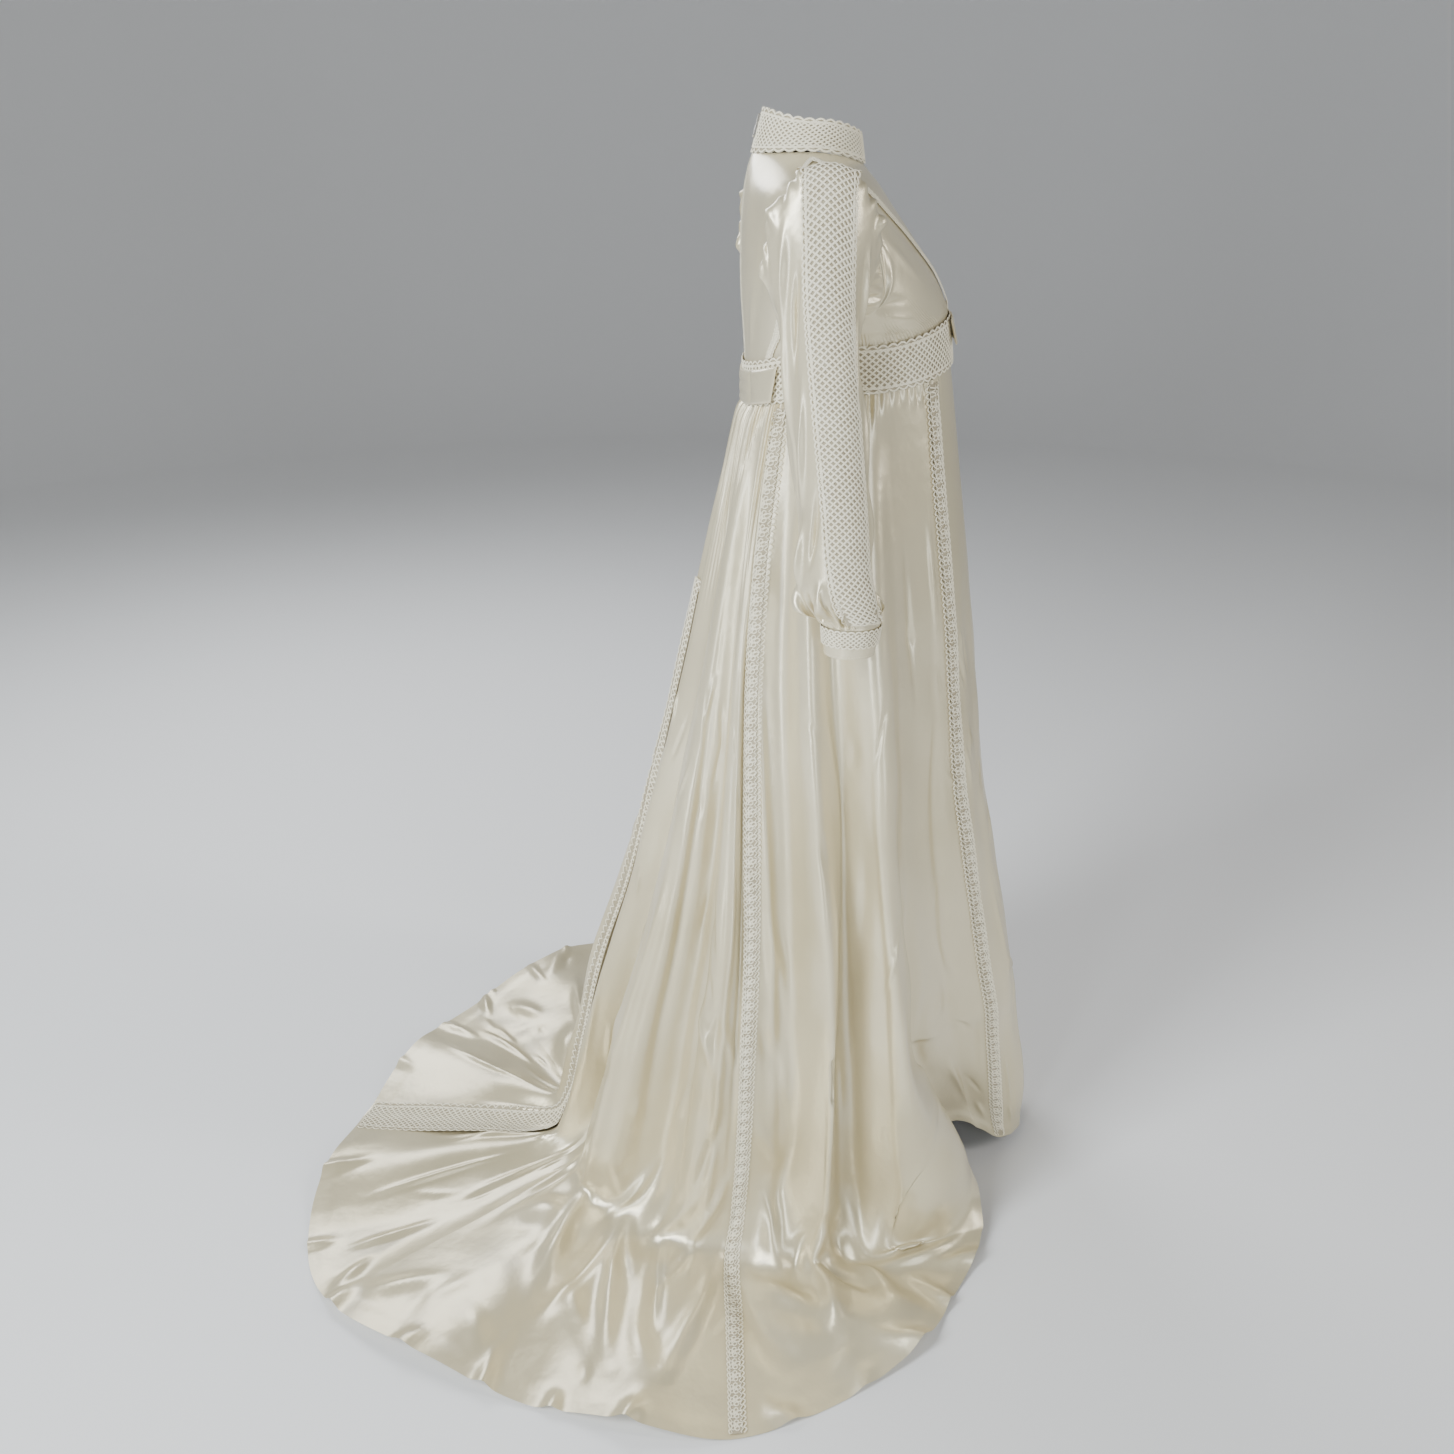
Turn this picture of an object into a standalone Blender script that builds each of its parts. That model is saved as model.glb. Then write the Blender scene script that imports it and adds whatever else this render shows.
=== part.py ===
"""A long-sleeved empire-line wedding dress with a train, worn and hollow.

Heights in the tables are measured above the floor; the part's own zero is the
base of the neck, where the wearer carries the dress. The front faces -Y and
the wearer's left is +X. Lengths are in metres and angles in degrees.
"""
import math

import bpy
from mathutils import Vector

for old in list(bpy.data.objects):
    bpy.data.objects.remove(old)

NECK_BASE_CENTER = Vector((0.0, 0.055, 1.375))   # the part's zero, from the floor
WALL = 0.0015            # satin with its interlining
LACE_WALL = 0.0011
SEAM = 0.0003            # the gap that parts two pieces
BRAID_WIDTH = 0.010
FLOWER_TRIM_WIDTH = 0.024
BACK_BAND_WIDTH = 0.058
SLEEVE_BAND_WIDTH = 0.060
ZIP_TAPE_WIDTH = 0.024
ZIP_SLIT = 0.0020
ZIP_TUCK = 0.0012        # the tape's extra depth behind the belt and the gathers
ZIP_END = 0.16           # share of the skirt's length that the zip runs down

SATIN = (0.86, 0.82, 0.70)
LACE = (0.88, 0.83, 0.68)
METAL = (0.72, 0.70, 0.66)

# The body of the bodice, from the bottom of the midriff to the base of the neck.
RING_FIELDS = ("front", "front_up", "half", "side", "side_up", "back", "back_up")
BODICE_RINGS = (
    # front   front_up  half   side   side_up  back   back_up
    (-0.120, 1.157, 0.130, 0.005, 1.138, 0.1230, 1.106),   # midriff, lower edge
    (-0.112, 1.213, 0.129, 0.008, 1.190, 0.1235, 1.158),   # midriff, upper edge
    (-0.106, 1.232, 0.137, 0.012, 1.208, 0.1250, 1.190),
    (-0.089, 1.264, 0.149, 0.022, 1.238, 0.1280, 1.232),   # bust
    (-0.064, 1.298, 0.156, 0.035, 1.275, 0.1290, 1.275),
    (-0.043, 1.325, 0.162, 0.045, 1.310, 0.1280, 1.315),
    (-0.024, 1.350, 0.165, 0.055, 1.343, 0.1250, 1.345),   # shoulder point
    (-0.015, 1.361, 0.118, 0.060, 1.366, 0.1210, 1.366),
    (-0.009, 1.369, 0.063, 0.060, 1.383, 0.1165, 1.381),   # base of the neck
)
MIDRIFF_TOP = 1.0
SHOULDER_POINT = 6.0
NECK_BASE = 8.0
UNDERARM = 2.45
ARMHOLE_ANGLE = 24.0     # how far the armhole reaches round from the side seam
NECK_SHARE = 0.40        # share of a half panel's top edge that is neckline

# The seams under the braid: share of the half panel at each height.
SEAM_FIELDS = ("height", "front", "back")
BODICE_SEAMS = (
    # height  front   back
    (0.00, 0.045, 0.40),
    (0.25, 0.120, 0.40),
    (0.50, 0.210, 0.42),
    (0.75, 0.330, 0.47),
    (1.00, 0.550, 0.55),
)

COLLAR_TOP = dict(
    front=-0.004, front_up=1.402, half=0.057, side=0.051, side_up=1.416, back=0.104, back_up=1.428,
)

# The skirt, as level rings. The seam angles turn round from the centre front.
SKIRT_FIELDS = ("up", "front", "half", "side", "back", "peak", "seam_1", "seam_2", "seam_3")
SKIRT_RINGS = (
    # up     front   half   side    back   peak  seam_1 seam_2 seam_3
    (1.090, -0.131, 0.134, 0.004, 0.132, 1.0, 45.0, 136.0, 160.0),
    (1.030, -0.140, 0.144, 0.006, 0.146, 1.0, 44.0, 135.0, 159.0),
    (0.920, -0.157, 0.160, 0.008, 0.168, 1.0, 42.0, 133.0, 158.0),
    (0.780, -0.177, 0.178, 0.012, 0.196, 1.1, 38.0, 128.0, 157.0),
    (0.620, -0.200, 0.198, 0.016, 0.232, 1.2, 35.0, 121.0, 156.0),
    (0.460, -0.232, 0.217, 0.022, 0.272, 1.3, 31.0, 115.0, 156.0),
    (0.300, -0.266, 0.236, 0.030, 0.320, 1.4, 28.0, 111.0, 157.0),
    (0.160, -0.292, 0.252, 0.038, 0.352, 1.4, 26.0, 109.0, 158.0),
    (0.060, -0.306, 0.268, 0.046, 0.378, 1.3, 25.0, 108.0, 159.0),
    (0.012, -0.310, 0.296, 0.052, 0.414, 1.2, 25.0, 107.0, 160.0),
)
KNEE_ROW = 7             # the last ring that the front of the skirt still follows

# The hem, from the centre front round to the centre back, in seam numbers.
HEM_FIELDS = ("seam", "right_x", "right_y", "left_x", "left_y", "up")
HEM = (
    # seam  right_x right_y left_x left_y   up
    (0.00, 0.000, -0.314, 0.000, -0.314, 0.012),
    (0.50, -0.044, -0.300, 0.046, -0.300, 0.014),
    (1.00, -0.082, -0.264, 0.090, -0.264, 0.024),
    (1.18, -0.104, -0.226, 0.116, -0.226, 0.052),
    (1.34, -0.128, -0.170, 0.140, -0.170, 0.070),
    (1.50, -0.250, -0.192, 0.250, -0.180, 0.000),
    (1.62, -0.352, -0.134, 0.350, -0.118, 0.000),
    (1.78, -0.455, -0.044, 0.450, -0.030, 0.000),
    (2.00, -0.540, 0.168, 0.530, 0.180, 0.000),
    (2.40, -0.494, 0.376, 0.508, 0.340, 0.000),
    (2.70, -0.430, 0.520, 0.452, 0.432, 0.000),
    (3.00, -0.312, 0.690, 0.362, 0.536, 0.000),
    (3.40, -0.160, 0.745, 0.236, 0.632, 0.000),
    (4.00, 0.048, 0.712, 0.048, 0.712, 0.000),
)
TRAIN_START = 1.38       # seam number where the cloth begins to lie on the floor
TRAIN_WHOLE = 1.52
FLOOR_REACH = 0.006      # the mid surface's height where the train rests

# Folds of the skirt. Seam numbers are minus on the wearer's right.
FOLD_FIELDS = ("top", "foot", "wide_top", "wide_foot", "deep_top", "deep_mid", "deep_foot", "lean", "train")
FOLDS = (
    # top   foot   wide_top wide_foot deep_top deep_mid deep_foot lean train
    (-1.20, -1.19, 0.11, 0.12, -0.002, -0.017, -0.020, 0.0, 0.0),
    (-1.46, -1.48, 0.07, 0.08, 0.005, 0.026, 0.040, 0.45, 0.4),
    (-1.62, -1.62, 0.06, 0.06, -0.006, -0.014, -0.018, 0.0, 0.0),
    (-1.74, -1.75, 0.055, 0.06, 0.006, 0.021, 0.026, 0.3, 0.6),
    (-1.86, -1.88, 0.06, 0.06, -0.007, -0.016, -0.018, 0.0, 0.0),
    (-2.20, -2.24, 0.12, 0.13, 0.005, 0.015, 0.020, 0.2, 0.7),
    (-2.46, -2.46, 0.12, 0.12, -0.006, -0.018, -0.022, 0.0, 0.0),
    (-2.76, -2.78, 0.16, 0.18, 0.004, 0.022, 0.062, 0.3, 0.3),
    (-3.26, -3.22, 0.18, 0.20, -0.004, -0.022, -0.062, 0.0, 0.0),
    (-3.62, -3.62, 0.16, 0.18, 0.003, 0.014, 0.020, 0.0, 0.9),
    (4.00, 4.00, 0.20, 0.20, -0.003, -0.014, -0.010, 0.0, 0.0),
    (3.56, 3.54, 0.18, 0.20, 0.003, 0.018, 0.034, 0.0, 0.6),
    (3.14, 3.10, 0.17, 0.17, -0.004, -0.018, -0.036, 0.0, 0.0),
    (2.70, 2.74, 0.18, 0.20, 0.004, 0.020, 0.044, -0.3, 0.4),
    (2.34, 2.36, 0.14, 0.14, -0.005, -0.018, -0.020, 0.0, 0.0),
    (1.85, 1.88, 0.07, 0.07, -0.007, -0.015, -0.017, 0.0, 0.0),
    (1.70, 1.73, 0.06, 0.06, 0.005, 0.019, 0.024, -0.3, 0.6),
    (1.59, 1.61, 0.06, 0.06, -0.006, -0.013, -0.016, 0.0, 0.0),
    (1.46, 1.47, 0.07, 0.08, 0.005, 0.022, 0.036, -0.45, 0.5),
    (1.20, 1.19, 0.11, 0.12, -0.002, -0.015, -0.018, 0.0, 0.0),
    (-0.52, -0.56, 0.28, 0.28, 0.0, 0.006, 0.012, 0.0, 0.0),
    (0.46, 0.52, 0.28, 0.28, 0.0, 0.006, 0.010, 0.0, 0.0),
    (0.00, -0.04, 0.22, 0.22, 0.0, -0.004, -0.008, 0.0, 0.0),
)
GATHER_DEPTH = 0.0016
GATHER_FADE = 0.10       # share of the skirt over which the gathers die out
SKIRT_ROWS = 18
SKIRT_ROW_EASE = 1.15

# A sleeve, from just outside the armhole to the cuff. x grows away from the body.
SLEEVE_FIELDS = ("out_x", "out_up", "in_x", "in_up", "y", "half_y")
SLEEVE_RINGS = (
    # out_x  out_up  in_x   in_up    y     half_y
    (0.192, 1.374, 0.153, 1.214, 0.056, 0.060),
    (0.213, 1.356, 0.152, 1.206, 0.060, 0.057),
    (0.225, 1.306, 0.153, 1.188, 0.061, 0.046),
    (0.229, 1.236, 0.155, 1.158, 0.059, 0.040),
    (0.234, 1.132, 0.161, 1.092, 0.050, 0.0385),
    (0.240, 1.042, 0.169, 1.012, 0.042, 0.0385),
    (0.247, 0.978, 0.177, 0.958, 0.039, 0.0405),
    (0.252, 0.940, 0.182, 0.927, 0.034, 0.0420),
    (0.250, 0.915, 0.190, 0.908, 0.023, 0.0350),
    (0.2500, 0.9043, 0.1900, 0.9008, 0.0190, 0.0325),
)
SLEEVE_STEPS = (0.0, 0.5, 1.0, 1.7, 2.5, 3.5, 4.6, 5.7, 6.7, 7.6, 8.4, 9.2, 10.0)
SLEEVE_COLUMNS = 18
BAND_COLUMNS = 4
BAND_TWIST = 32.0        # how far the band turns forward by the wrist
CUFF_TOP = dict(out_x=0.2500, out_up=0.9035, in_x=0.1900, in_up=0.9000, y=0.0190, half_y=0.0325)
CUFF_END = dict(out_x=0.2490, out_up=0.8700, in_x=0.1930, in_up=0.8660, y=0.0200, half_y=0.0285)
CUFF_COLUMNS = 16

SCALLOP_PITCH = 0.0120
SCALLOP_DEPTH = 0.0035


def mix(low, high, share):
    return low + (high - low) * share


def smooth(low, high, value):
    share = min(max((value - low) / (high - low), 0.0), 1.0)
    return share * share * (3.0 - 2.0 * share)


def bend_through(before, start, end, after, share):
    """A smooth curve from start to end that also looks at its neighbours."""
    square = share * share
    cube = square * share
    return 0.5 * (
        2.0 * start
        + (end - before) * share
        + (2.0 * before - 5.0 * start + 4.0 * end - after) * square
        + (3.0 * start - before - 3.0 * end + after) * cube
    )


def along_rows(values, place):
    """The value at a place between the rows of a column of values."""
    last = len(values) - 1
    place = min(max(place, 0.0), float(last))
    row = min(int(place), last - 1)
    before = values[max(row - 1, 0)]
    after = values[min(row + 2, last)]
    return bend_through(before, values[row], values[row + 1], after, place - row)


def ring_at(table, fields, place):
    return {
        field: along_rows([row[column] for row in table], place)
        for column, field in enumerate(fields)
    }


def on_body_ring(ring, angle):
    """A point of a ring round the body; 0 is the centre front, 90 the wearer's left."""
    turn = math.radians(angle)
    ahead = math.cos(turn)
    end, end_up = ("front", "front_up") if ahead > 0.0 else ("back", "back_up")
    x = ring["half"] * math.sin(turn)
    y = mix(ring["side"], ring[end], abs(ahead))
    up = mix(ring["side_up"], ring[end_up], ahead * ahead)
    return Vector((x, y, up)) - NECK_BASE_CENTER


def bodice_point(angle, place):
    return on_body_ring(ring_at(BODICE_RINGS, RING_FIELDS, place), angle)


def armhole(share):
    """Angle and place on the armhole's edge, from the underarm, 0, to the shoulder, 1."""
    turn = math.pi * share
    middle = 0.5 * (UNDERARM + SHOULDER_POINT)
    half = 0.5 * (SHOULDER_POINT - UNDERARM)
    return 90.0 - ARMHOLE_ANGLE * math.sin(turn), middle - half * math.cos(turn)


SIDE_SEAM_SHARE = 0.30   # share of a half panel's side that lies under the arm


def panel_side(height):
    if height < SIDE_SEAM_SHARE:
        return 90.0, mix(MIDRIFF_TOP, UNDERARM, height / SIDE_SEAM_SHARE)
    return armhole((height - SIDE_SEAM_SHARE) / (1.0 - SIDE_SEAM_SHARE))


def panel_top(across):
    if across < NECK_SHARE:
        return 90.0 * across / NECK_SHARE, NECK_BASE
    return 90.0, mix(NECK_BASE, SHOULDER_POINT, (across - NECK_SHARE) / (1.0 - NECK_SHARE))


def half_panel(across, height):
    """Angle and place of a point of a half front, spread between its four edges."""
    top = panel_top(across)
    side = panel_side(height)
    corners = ((0.0, MIDRIFF_TOP), (90.0, MIDRIFF_TOP), (0.0, NECK_BASE), (90.0, SHOULDER_POINT))
    found = []
    for field in (0, 1):
        bottom = (90.0 * across, MIDRIFF_TOP)[field]
        middle = (0.0, mix(MIDRIFF_TOP, NECK_BASE, height))[field]
        value = mix(bottom, top[field], height) + mix(middle, side[field], across)
        value -= mix(
            mix(corners[0][field], corners[1][field], across),
            mix(corners[2][field], corners[3][field], across),
            height,
        )
        found.append(value)
    return found


def front_point(across, height):
    """A point of the front; across runs from -1, the right side, to 1, the left."""
    angle, place = half_panel(abs(across), height)
    return bodice_point(math.copysign(angle, across), place)


def back_point(across, height):
    """A point of the back; across runs from -1, the right side, to 1, the left."""
    angle, place = half_panel(abs(across), height)
    return bodice_point(180.0 - math.copysign(angle, across), place)


def seam_angle(ring, seam):
    stops = (0.0, ring["seam_1"], ring["seam_2"], ring["seam_3"], 180.0)
    row = min(int(seam), 3)
    return mix(stops[row], stops[row + 1], seam - row)


def hem_point(seam, side):
    keys = [row[0] for row in HEM]
    row = 0
    while row < len(keys) - 2 and seam > keys[row + 1]:
        row += 1
    place = row + (seam - keys[row]) / (keys[row + 1] - keys[row])
    hem = ring_at(HEM, HEM_FIELDS, place)
    word = "left" if side > 0.0 else "right"
    return Vector((hem[word + "_x"], hem[word + "_y"], max(hem["up"], 0.0)))


def skirt_route(number):
    """The points that one lengthwise thread of the skirt runs through."""
    side = -1.0 if number < 0.0 else 1.0
    seam = abs(number)
    if seam > 4.0:
        side, seam = -side, 8.0 - seam
    start_ring = ring_at(BODICE_RINGS, RING_FIELDS, 0.0)
    first = dict(zip(SKIRT_FIELDS, SKIRT_RINGS[0]))
    route = [on_body_ring(start_ring, side * seam_angle(first, seam)) + NECK_BASE_CENTER]
    for row in SKIRT_RINGS:
        ring = dict(zip(SKIRT_FIELDS, row))
        turn = math.radians(seam_angle(ring, seam))
        ahead = math.cos(turn)
        if ahead > 0.0:
            y = mix(ring["side"], ring["front"], ahead ** ring["peak"])
        else:
            y = mix(ring["side"], ring["back"], -ahead)
        route.append(Vector((side * ring["half"] * math.sin(turn), y, ring["up"])))
    hem = hem_point(seam, side)
    rests = smooth(TRAIN_START, TRAIN_WHOLE, seam)
    contact = route[-1].copy()
    route += [contact.lerp(hem, 0.35), contact.lerp(hem, 0.70), hem.copy()]
    for row in range(-3, -1):
        route[row].z = FLOOR_REACH * (1.0 - 0.5 * (row + 3))
    knee = route[KNEE_ROW].copy()
    steps = len(route) - 1 - KNEE_ROW
    for row in range(KNEE_ROW + 1, len(route)):
        hanging = knee.lerp(hem, (row - KNEE_ROW) / steps)
        route[row] = hanging.lerp(route[row], rests)
    return route


ROUTES = {}


def skirt_base(number, share):
    """A point of the skirt without its folds; share runs from the midriff to the hem."""
    key = round(number, 6)
    if key not in ROUTES:
        route = skirt_route(number)
        fine = [along_rows(route, 0.25 * step) for step in range(4 * (len(route) - 1) + 1)]
        run = [0.0]
        for start, end in zip(fine, fine[1:]):
            run.append(run[-1] + (end - start).length)
        ROUTES[key] = (fine, run)
    fine, run = ROUTES[key]
    wanted = min(max(share, 0.0), 1.0) * run[-1]
    row = 0
    while row < len(run) - 2 and wanted > run[row + 1]:
        row += 1
    return fine[row].lerp(fine[row + 1], (wanted - run[row]) / (run[row + 1] - run[row]))


def frame_of(surface, u, v, step_u=0.01, step_v=0.01, v_end=1.0):
    """The tangents of a surface at (u, v), each for a step of one."""
    ahead = surface(u + step_u, v) - surface(u - step_u, v)
    low, high = max(v - step_v, 0.0), min(v + step_v, v_end)
    along = surface(u, high) - surface(u, low)
    return ahead / (2.0 * step_u), along / (high - low)


def bump(distance):
    """One soft fold: 1 on its crest, 0 from one width away."""
    if abs(distance) >= 1.0:
        return 0.0
    return 0.5 + 0.5 * math.cos(math.pi * distance)


def lying(number, share):
    """How far a place of the skirt lies on the floor, 0 to 1."""
    return 1.0 - smooth(0.0, 0.10, skirt_base(number, share).z)


def fold_sum(number, share):
    """The folds' height over the smooth skirt, and how far they lean sideways."""
    deep_sum = 0.0
    lean_sum = 0.0
    flat = lying(number, share)
    for row in FOLDS:
        fold = dict(zip(FOLD_FIELDS, row))
        centre = mix(fold["top"], fold["foot"], share)
        width = mix(fold["wide_top"], fold["wide_foot"], share)
        away = number - centre
        if centre > 3.0 and number < -3.0:
            away = (8.0 + number) - centre
        if centre < -3.0 and number > 3.0:
            away = number - (8.0 + centre)
        shape = bump(away / (2.0 * width))
        if shape <= 0.0:
            continue
        deep = along_rows((fold["deep_top"], fold["deep_mid"], fold["deep_foot"]), 2.0 * share)
        deep *= smooth(0.0, 0.12, share) * 0.75 + 0.25
        deep = mix(deep, max(deep, 0.0) * fold["train"], flat)
        deep_sum += deep * shape
        lean_sum += fold["lean"] * abs(deep) * shape * (1.0 - flat)
    return deep_sum, lean_sum


def skirt_point(number, share):
    """A point of the skirt's mid surface, folds and all; number counts the seams."""
    base = skirt_base(number, share)
    ahead, along = frame_of(skirt_base, number, share, 0.02, 0.02)
    out = along.cross(ahead)
    if out.length < 1e-9:
        out = Vector((0.0, 0.0, 1.0))
    out.normalize()
    deep, lean = fold_sum(number, share)
    point = base + out * deep + ahead.normalized() * lean
    return point - NECK_BASE_CENTER


def sleeve_point(side, turn, place):
    """A point of a sleeve; turn 0 is its outer line, place 0 the armhole, 10 the cuff."""
    rows = []
    around = math.radians(turn)
    lift = WALL + 3.0 * SEAM
    share = 0.5 + 0.5 * math.cos(around)
    angle, level = armhole(math.acos(-math.cos(around)) / math.pi)
    if math.sin(around) >= 0.0:
        angle = 180.0 - angle
    start = bodice_point(angle, level)
    ahead = bodice_point(angle + 1.0, level) - bodice_point(angle - 1.0, level)
    above = bodice_point(angle, level + 0.05) - bodice_point(angle, level - 0.05)
    rows.append(start + ahead.cross(above).normalized() * lift)
    for row in SLEEVE_RINGS:
        ring = dict(zip(SLEEVE_FIELDS, row))
        rows.append(Vector((
            mix(ring["in_x"], ring["out_x"], share),
            ring["y"] + ring["half_y"] * math.sin(around),
            mix(ring["in_up"], ring["out_up"], share),
        )) - NECK_BASE_CENTER)
    point = along_rows(rows, place)
    point.x *= side
    return point


def paint(name, color, rough, metal=0.0):
    material = bpy.data.materials.get(name)
    if material is None:
        material = bpy.data.materials.new(name)
        material.use_nodes = True
        shader = material.node_tree.nodes["Principled BSDF"]
        shader.inputs["Base Color"].default_value = (*color, 1.0)
        shader.inputs["Roughness"].default_value = rough
        shader.inputs["Metallic"].default_value = metal
    return material


def add_piece(name, points, faces, material):
    mesh = bpy.data.meshes.new(name)
    mesh.from_pydata([tuple(point) for point in points], [], faces)
    mesh.validate()
    mesh.update()
    mesh.shade_smooth()
    mesh.set_sharp_from_angle(angle=math.radians(50.0))
    mesh.materials.append(material)
    piece = bpy.data.objects.new(name, mesh)
    bpy.context.scene.collection.objects.link(piece)
    return piece


def wall(name, outer, inner, material, closed=False):
    """A cloth wall between two grids of points, closed along its edges."""
    rows, columns = len(outer), len(outer[0])
    points = [point for row in outer for point in row] + [point for row in inner for point in row]
    step = rows * columns

    def at(row, column, layer):
        return layer * step + row * columns + column % columns

    faces = []
    spans = columns if closed else columns - 1
    for row in range(rows - 1):
        for column in range(spans):
            for layer in (0, 1):
                a = at(row, column, layer)
                b = at(row, column + 1, layer)
                c = at(row + 1, column + 1, layer)
                d = at(row + 1, column, layer)
                faces += [(a, b, c), (a, c, d)] if layer == 0 else [(a, c, b), (a, d, c)]
    for column in range(spans):
        for row in (0, rows - 1):
            a, b = at(row, column, 0), at(row, column + 1, 0)
            c, d = at(row, column + 1, 1), at(row, column, 1)
            faces += [(a, c, b), (a, d, c)] if row == 0 else [(a, b, c), (a, c, d)]
    if not closed:
        for row in range(rows - 1):
            for column in (0, columns - 1):
                a, b = at(row, column, 0), at(row + 1, column, 0)
                c, d = at(row + 1, column, 1), at(row, column, 1)
                faces += [(a, b, c), (a, c, d)] if column == 0 else [(a, c, b), (a, d, c)]
    area = 0.0
    for face in faces:
        a, b, c = (Vector(points[corner]) for corner in face)
        area += a.dot(b.cross(c))
    if area < 0.0:
        faces = [tuple(reversed(face)) for face in faces]
    return add_piece(name, points, faces, material)


def sheet(surface, rows, lines, sign=1.0, middle=0.0, thick=WALL, ripple=None, edges=(0.0, 0.0),
          ends=(0.0, 0.0), steps=(0.01, 0.01, 1.0), floor=None):
    """The outer and inner points of a wall that follows a surface.

    rows are its places along the cloth and lines(row) its places across it.
    middle lifts the wall off the surface, edges and ends pull its borders in.
    """
    outer, inner = [], []
    for number, v in enumerate(rows):
        across = lines(v)
        outer_row, inner_row = [], []
        for column, u in enumerate(across):
            point = surface(u, v)
            ahead, along = frame_of(surface, u, v, *steps)
            out = ahead.cross(along).normalized() * sign
            pull = edges(v) if callable(edges) else edges
            if column == 0:
                point = point + ahead.normalized() * pull[0]
            if column == len(across) - 1:
                point = point - ahead.normalized() * pull[1]
            if number == 0:
                point = point + along.normalized() * ends[0]
            if number == len(rows) - 1:
                point = point - along.normalized() * ends[1]
            raised = middle + (ripple(column, len(across), v) if ripple else 0.0)
            high = point + out * (raised + 0.5 * thick)
            low = point + out * (raised - 0.5 * thick)
            if floor is not None:
                low.z = max(low.z, floor)
                high.z = max(high.z, low.z + 0.5 * thick)
            outer_row.append(high)
            inner_row.append(low)
        outer.append(outer_row)
        inner.append(inner_row)
    return outer, inner


def spread(low, high, count):
    return [mix(low, high, step / count) for step in range(count + 1)]


def edge_step(surface, u, v, width, steps):
    """How far to go across the surface from u to cover a width."""
    ahead, _ = frame_of(surface, u, v, *steps)
    return width / ahead.length


def bodice_seam(side, height):
    column = 1 if side == "front" else 2
    return along_rows([row[column] for row in BODICE_SEAMS], 4.0 * height)


BODICE_ROWS = (0.0, 0.10, 0.20, 0.30, 0.38, 0.46, 0.54, 0.62, 0.70, 0.76, 0.81, 0.86, 0.93, 1.0)
BODICE_STEPS = (0.01, 0.01, 1.0)
BUST_GATHERS = 0.0011
BUST_GATHER_FADE = 0.32


def bust_ripple(column, count, height):
    if column < 2 or column > count - 3:
        return 0.0
    fade = 1.0 - smooth(0.0, BUST_GATHER_FADE, height)
    return BUST_GATHERS * fade * (1.0 if column % 2 else -1.0)


def make_bodice():
    """Seven panels: the inset between the braids, two side fronts and four backs."""
    half_braid = 0.5 * BRAID_WIDTH
    part = 0.5 * SEAM

    def inset_lines(height):
        seam = bodice_seam("front", height)
        step = edge_step(front_point, seam, height, half_braid, BODICE_STEPS)
        inside = spread(-seam + step, seam - step, 6)
        return [-seam] + inside + [seam]

    grids = sheet(front_point, BODICE_ROWS, inset_lines, edges=(part, part), ends=(part, SEAM))
    wall("bodice_front_inset", *grids, paint("satin_front_inset", SATIN, 0.32))

    for word, side in (("right", -1.0), ("left", 1.0)):
        def side_front(height):
            seam = bodice_seam("front", height)
            step = edge_step(front_point, seam, height, half_braid, BODICE_STEPS)
            across = [side * value for value in [seam] + spread(seam + step, 1.0, 10)]
            return across if side > 0.0 else across[::-1]

        grids = sheet(front_point, BODICE_ROWS, side_front, ripple=bust_ripple, edges=(part, part),
                      ends=(part, SEAM))
        wall(f"bodice_side_front_{word}", *grids, paint(f"satin_side_front_{word}", SATIN, 0.32))

        def center_back(height):
            seam = bodice_seam("back", height)
            step = edge_step(back_point, seam, height, half_braid, BODICE_STEPS)
            tape = edge_step(back_point, 0.0, height, 0.5 * ZIP_TAPE_WIDTH, BODICE_STEPS)
            across = [0.0] + spread(tape, seam - step, 3) + [seam]
            across = [side * value for value in across]
            return across if side > 0.0 else across[::-1]

        slit = (0.5 * ZIP_SLIT, part) if side > 0.0 else (part, 0.5 * ZIP_SLIT)
        grids = sheet(back_point, BODICE_ROWS, center_back, -1.0, edges=slit, ends=(part, SEAM))
        wall(f"bodice_back_{word}", *grids, paint(f"satin_back_{word}", SATIN, 0.32))

        def side_back(height):
            seam = bodice_seam("back", height)
            step = edge_step(back_point, seam, height, half_braid, BODICE_STEPS)
            across = [side * value for value in [seam] + spread(seam + step, 1.0, 5)]
            return across if side > 0.0 else across[::-1]

        grids = sheet(back_point, BODICE_ROWS, side_back, -1.0, edges=(part, part), ends=(part, SEAM))
        wall(f"bodice_side_back_{word}", *grids, paint(f"satin_side_back_{word}", SATIN, 0.32))


def make_braids():
    """The narrow braid over the front and back seams; they meet at the shoulder."""
    lift = 0.5 * WALL + 3.0 * SEAM + 0.5 * LACE_WALL
    for word, side in (("right", -1.0), ("left", 1.0)):
        for end, surface, sign in (("front", front_point, 1.0), ("back", back_point, -1.0)):
            def braid_lines(height):
                seam = bodice_seam(end, height)
                step = edge_step(surface, seam, height, 0.5 * BRAID_WIDTH, BODICE_STEPS)
                across = [side * (seam - step), side * seam, side * (seam + step)]
                return across if side > 0.0 else across[::-1]

            grids = sheet(surface, BODICE_ROWS, braid_lines, sign, lift, LACE_WALL, ends=(SEAM, 0.5 * SEAM))
            wall(f"braid_{end}_{word}", *grids, paint(f"lace_braid_{end}_{word}", LACE, 0.8))


def around_back(surface, slit, columns):
    """Places round the body from the slit's one edge to the other, by angle."""
    def lines(place):
        step = edge_step(surface, 180.0, place, 0.5 * slit, (1.0, 0.05, 8.0))
        return spread(-180.0 + step, 180.0 - step, columns)
    return lines


BELT_STEPS = (1.0, 0.05, 1.0)


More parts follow.
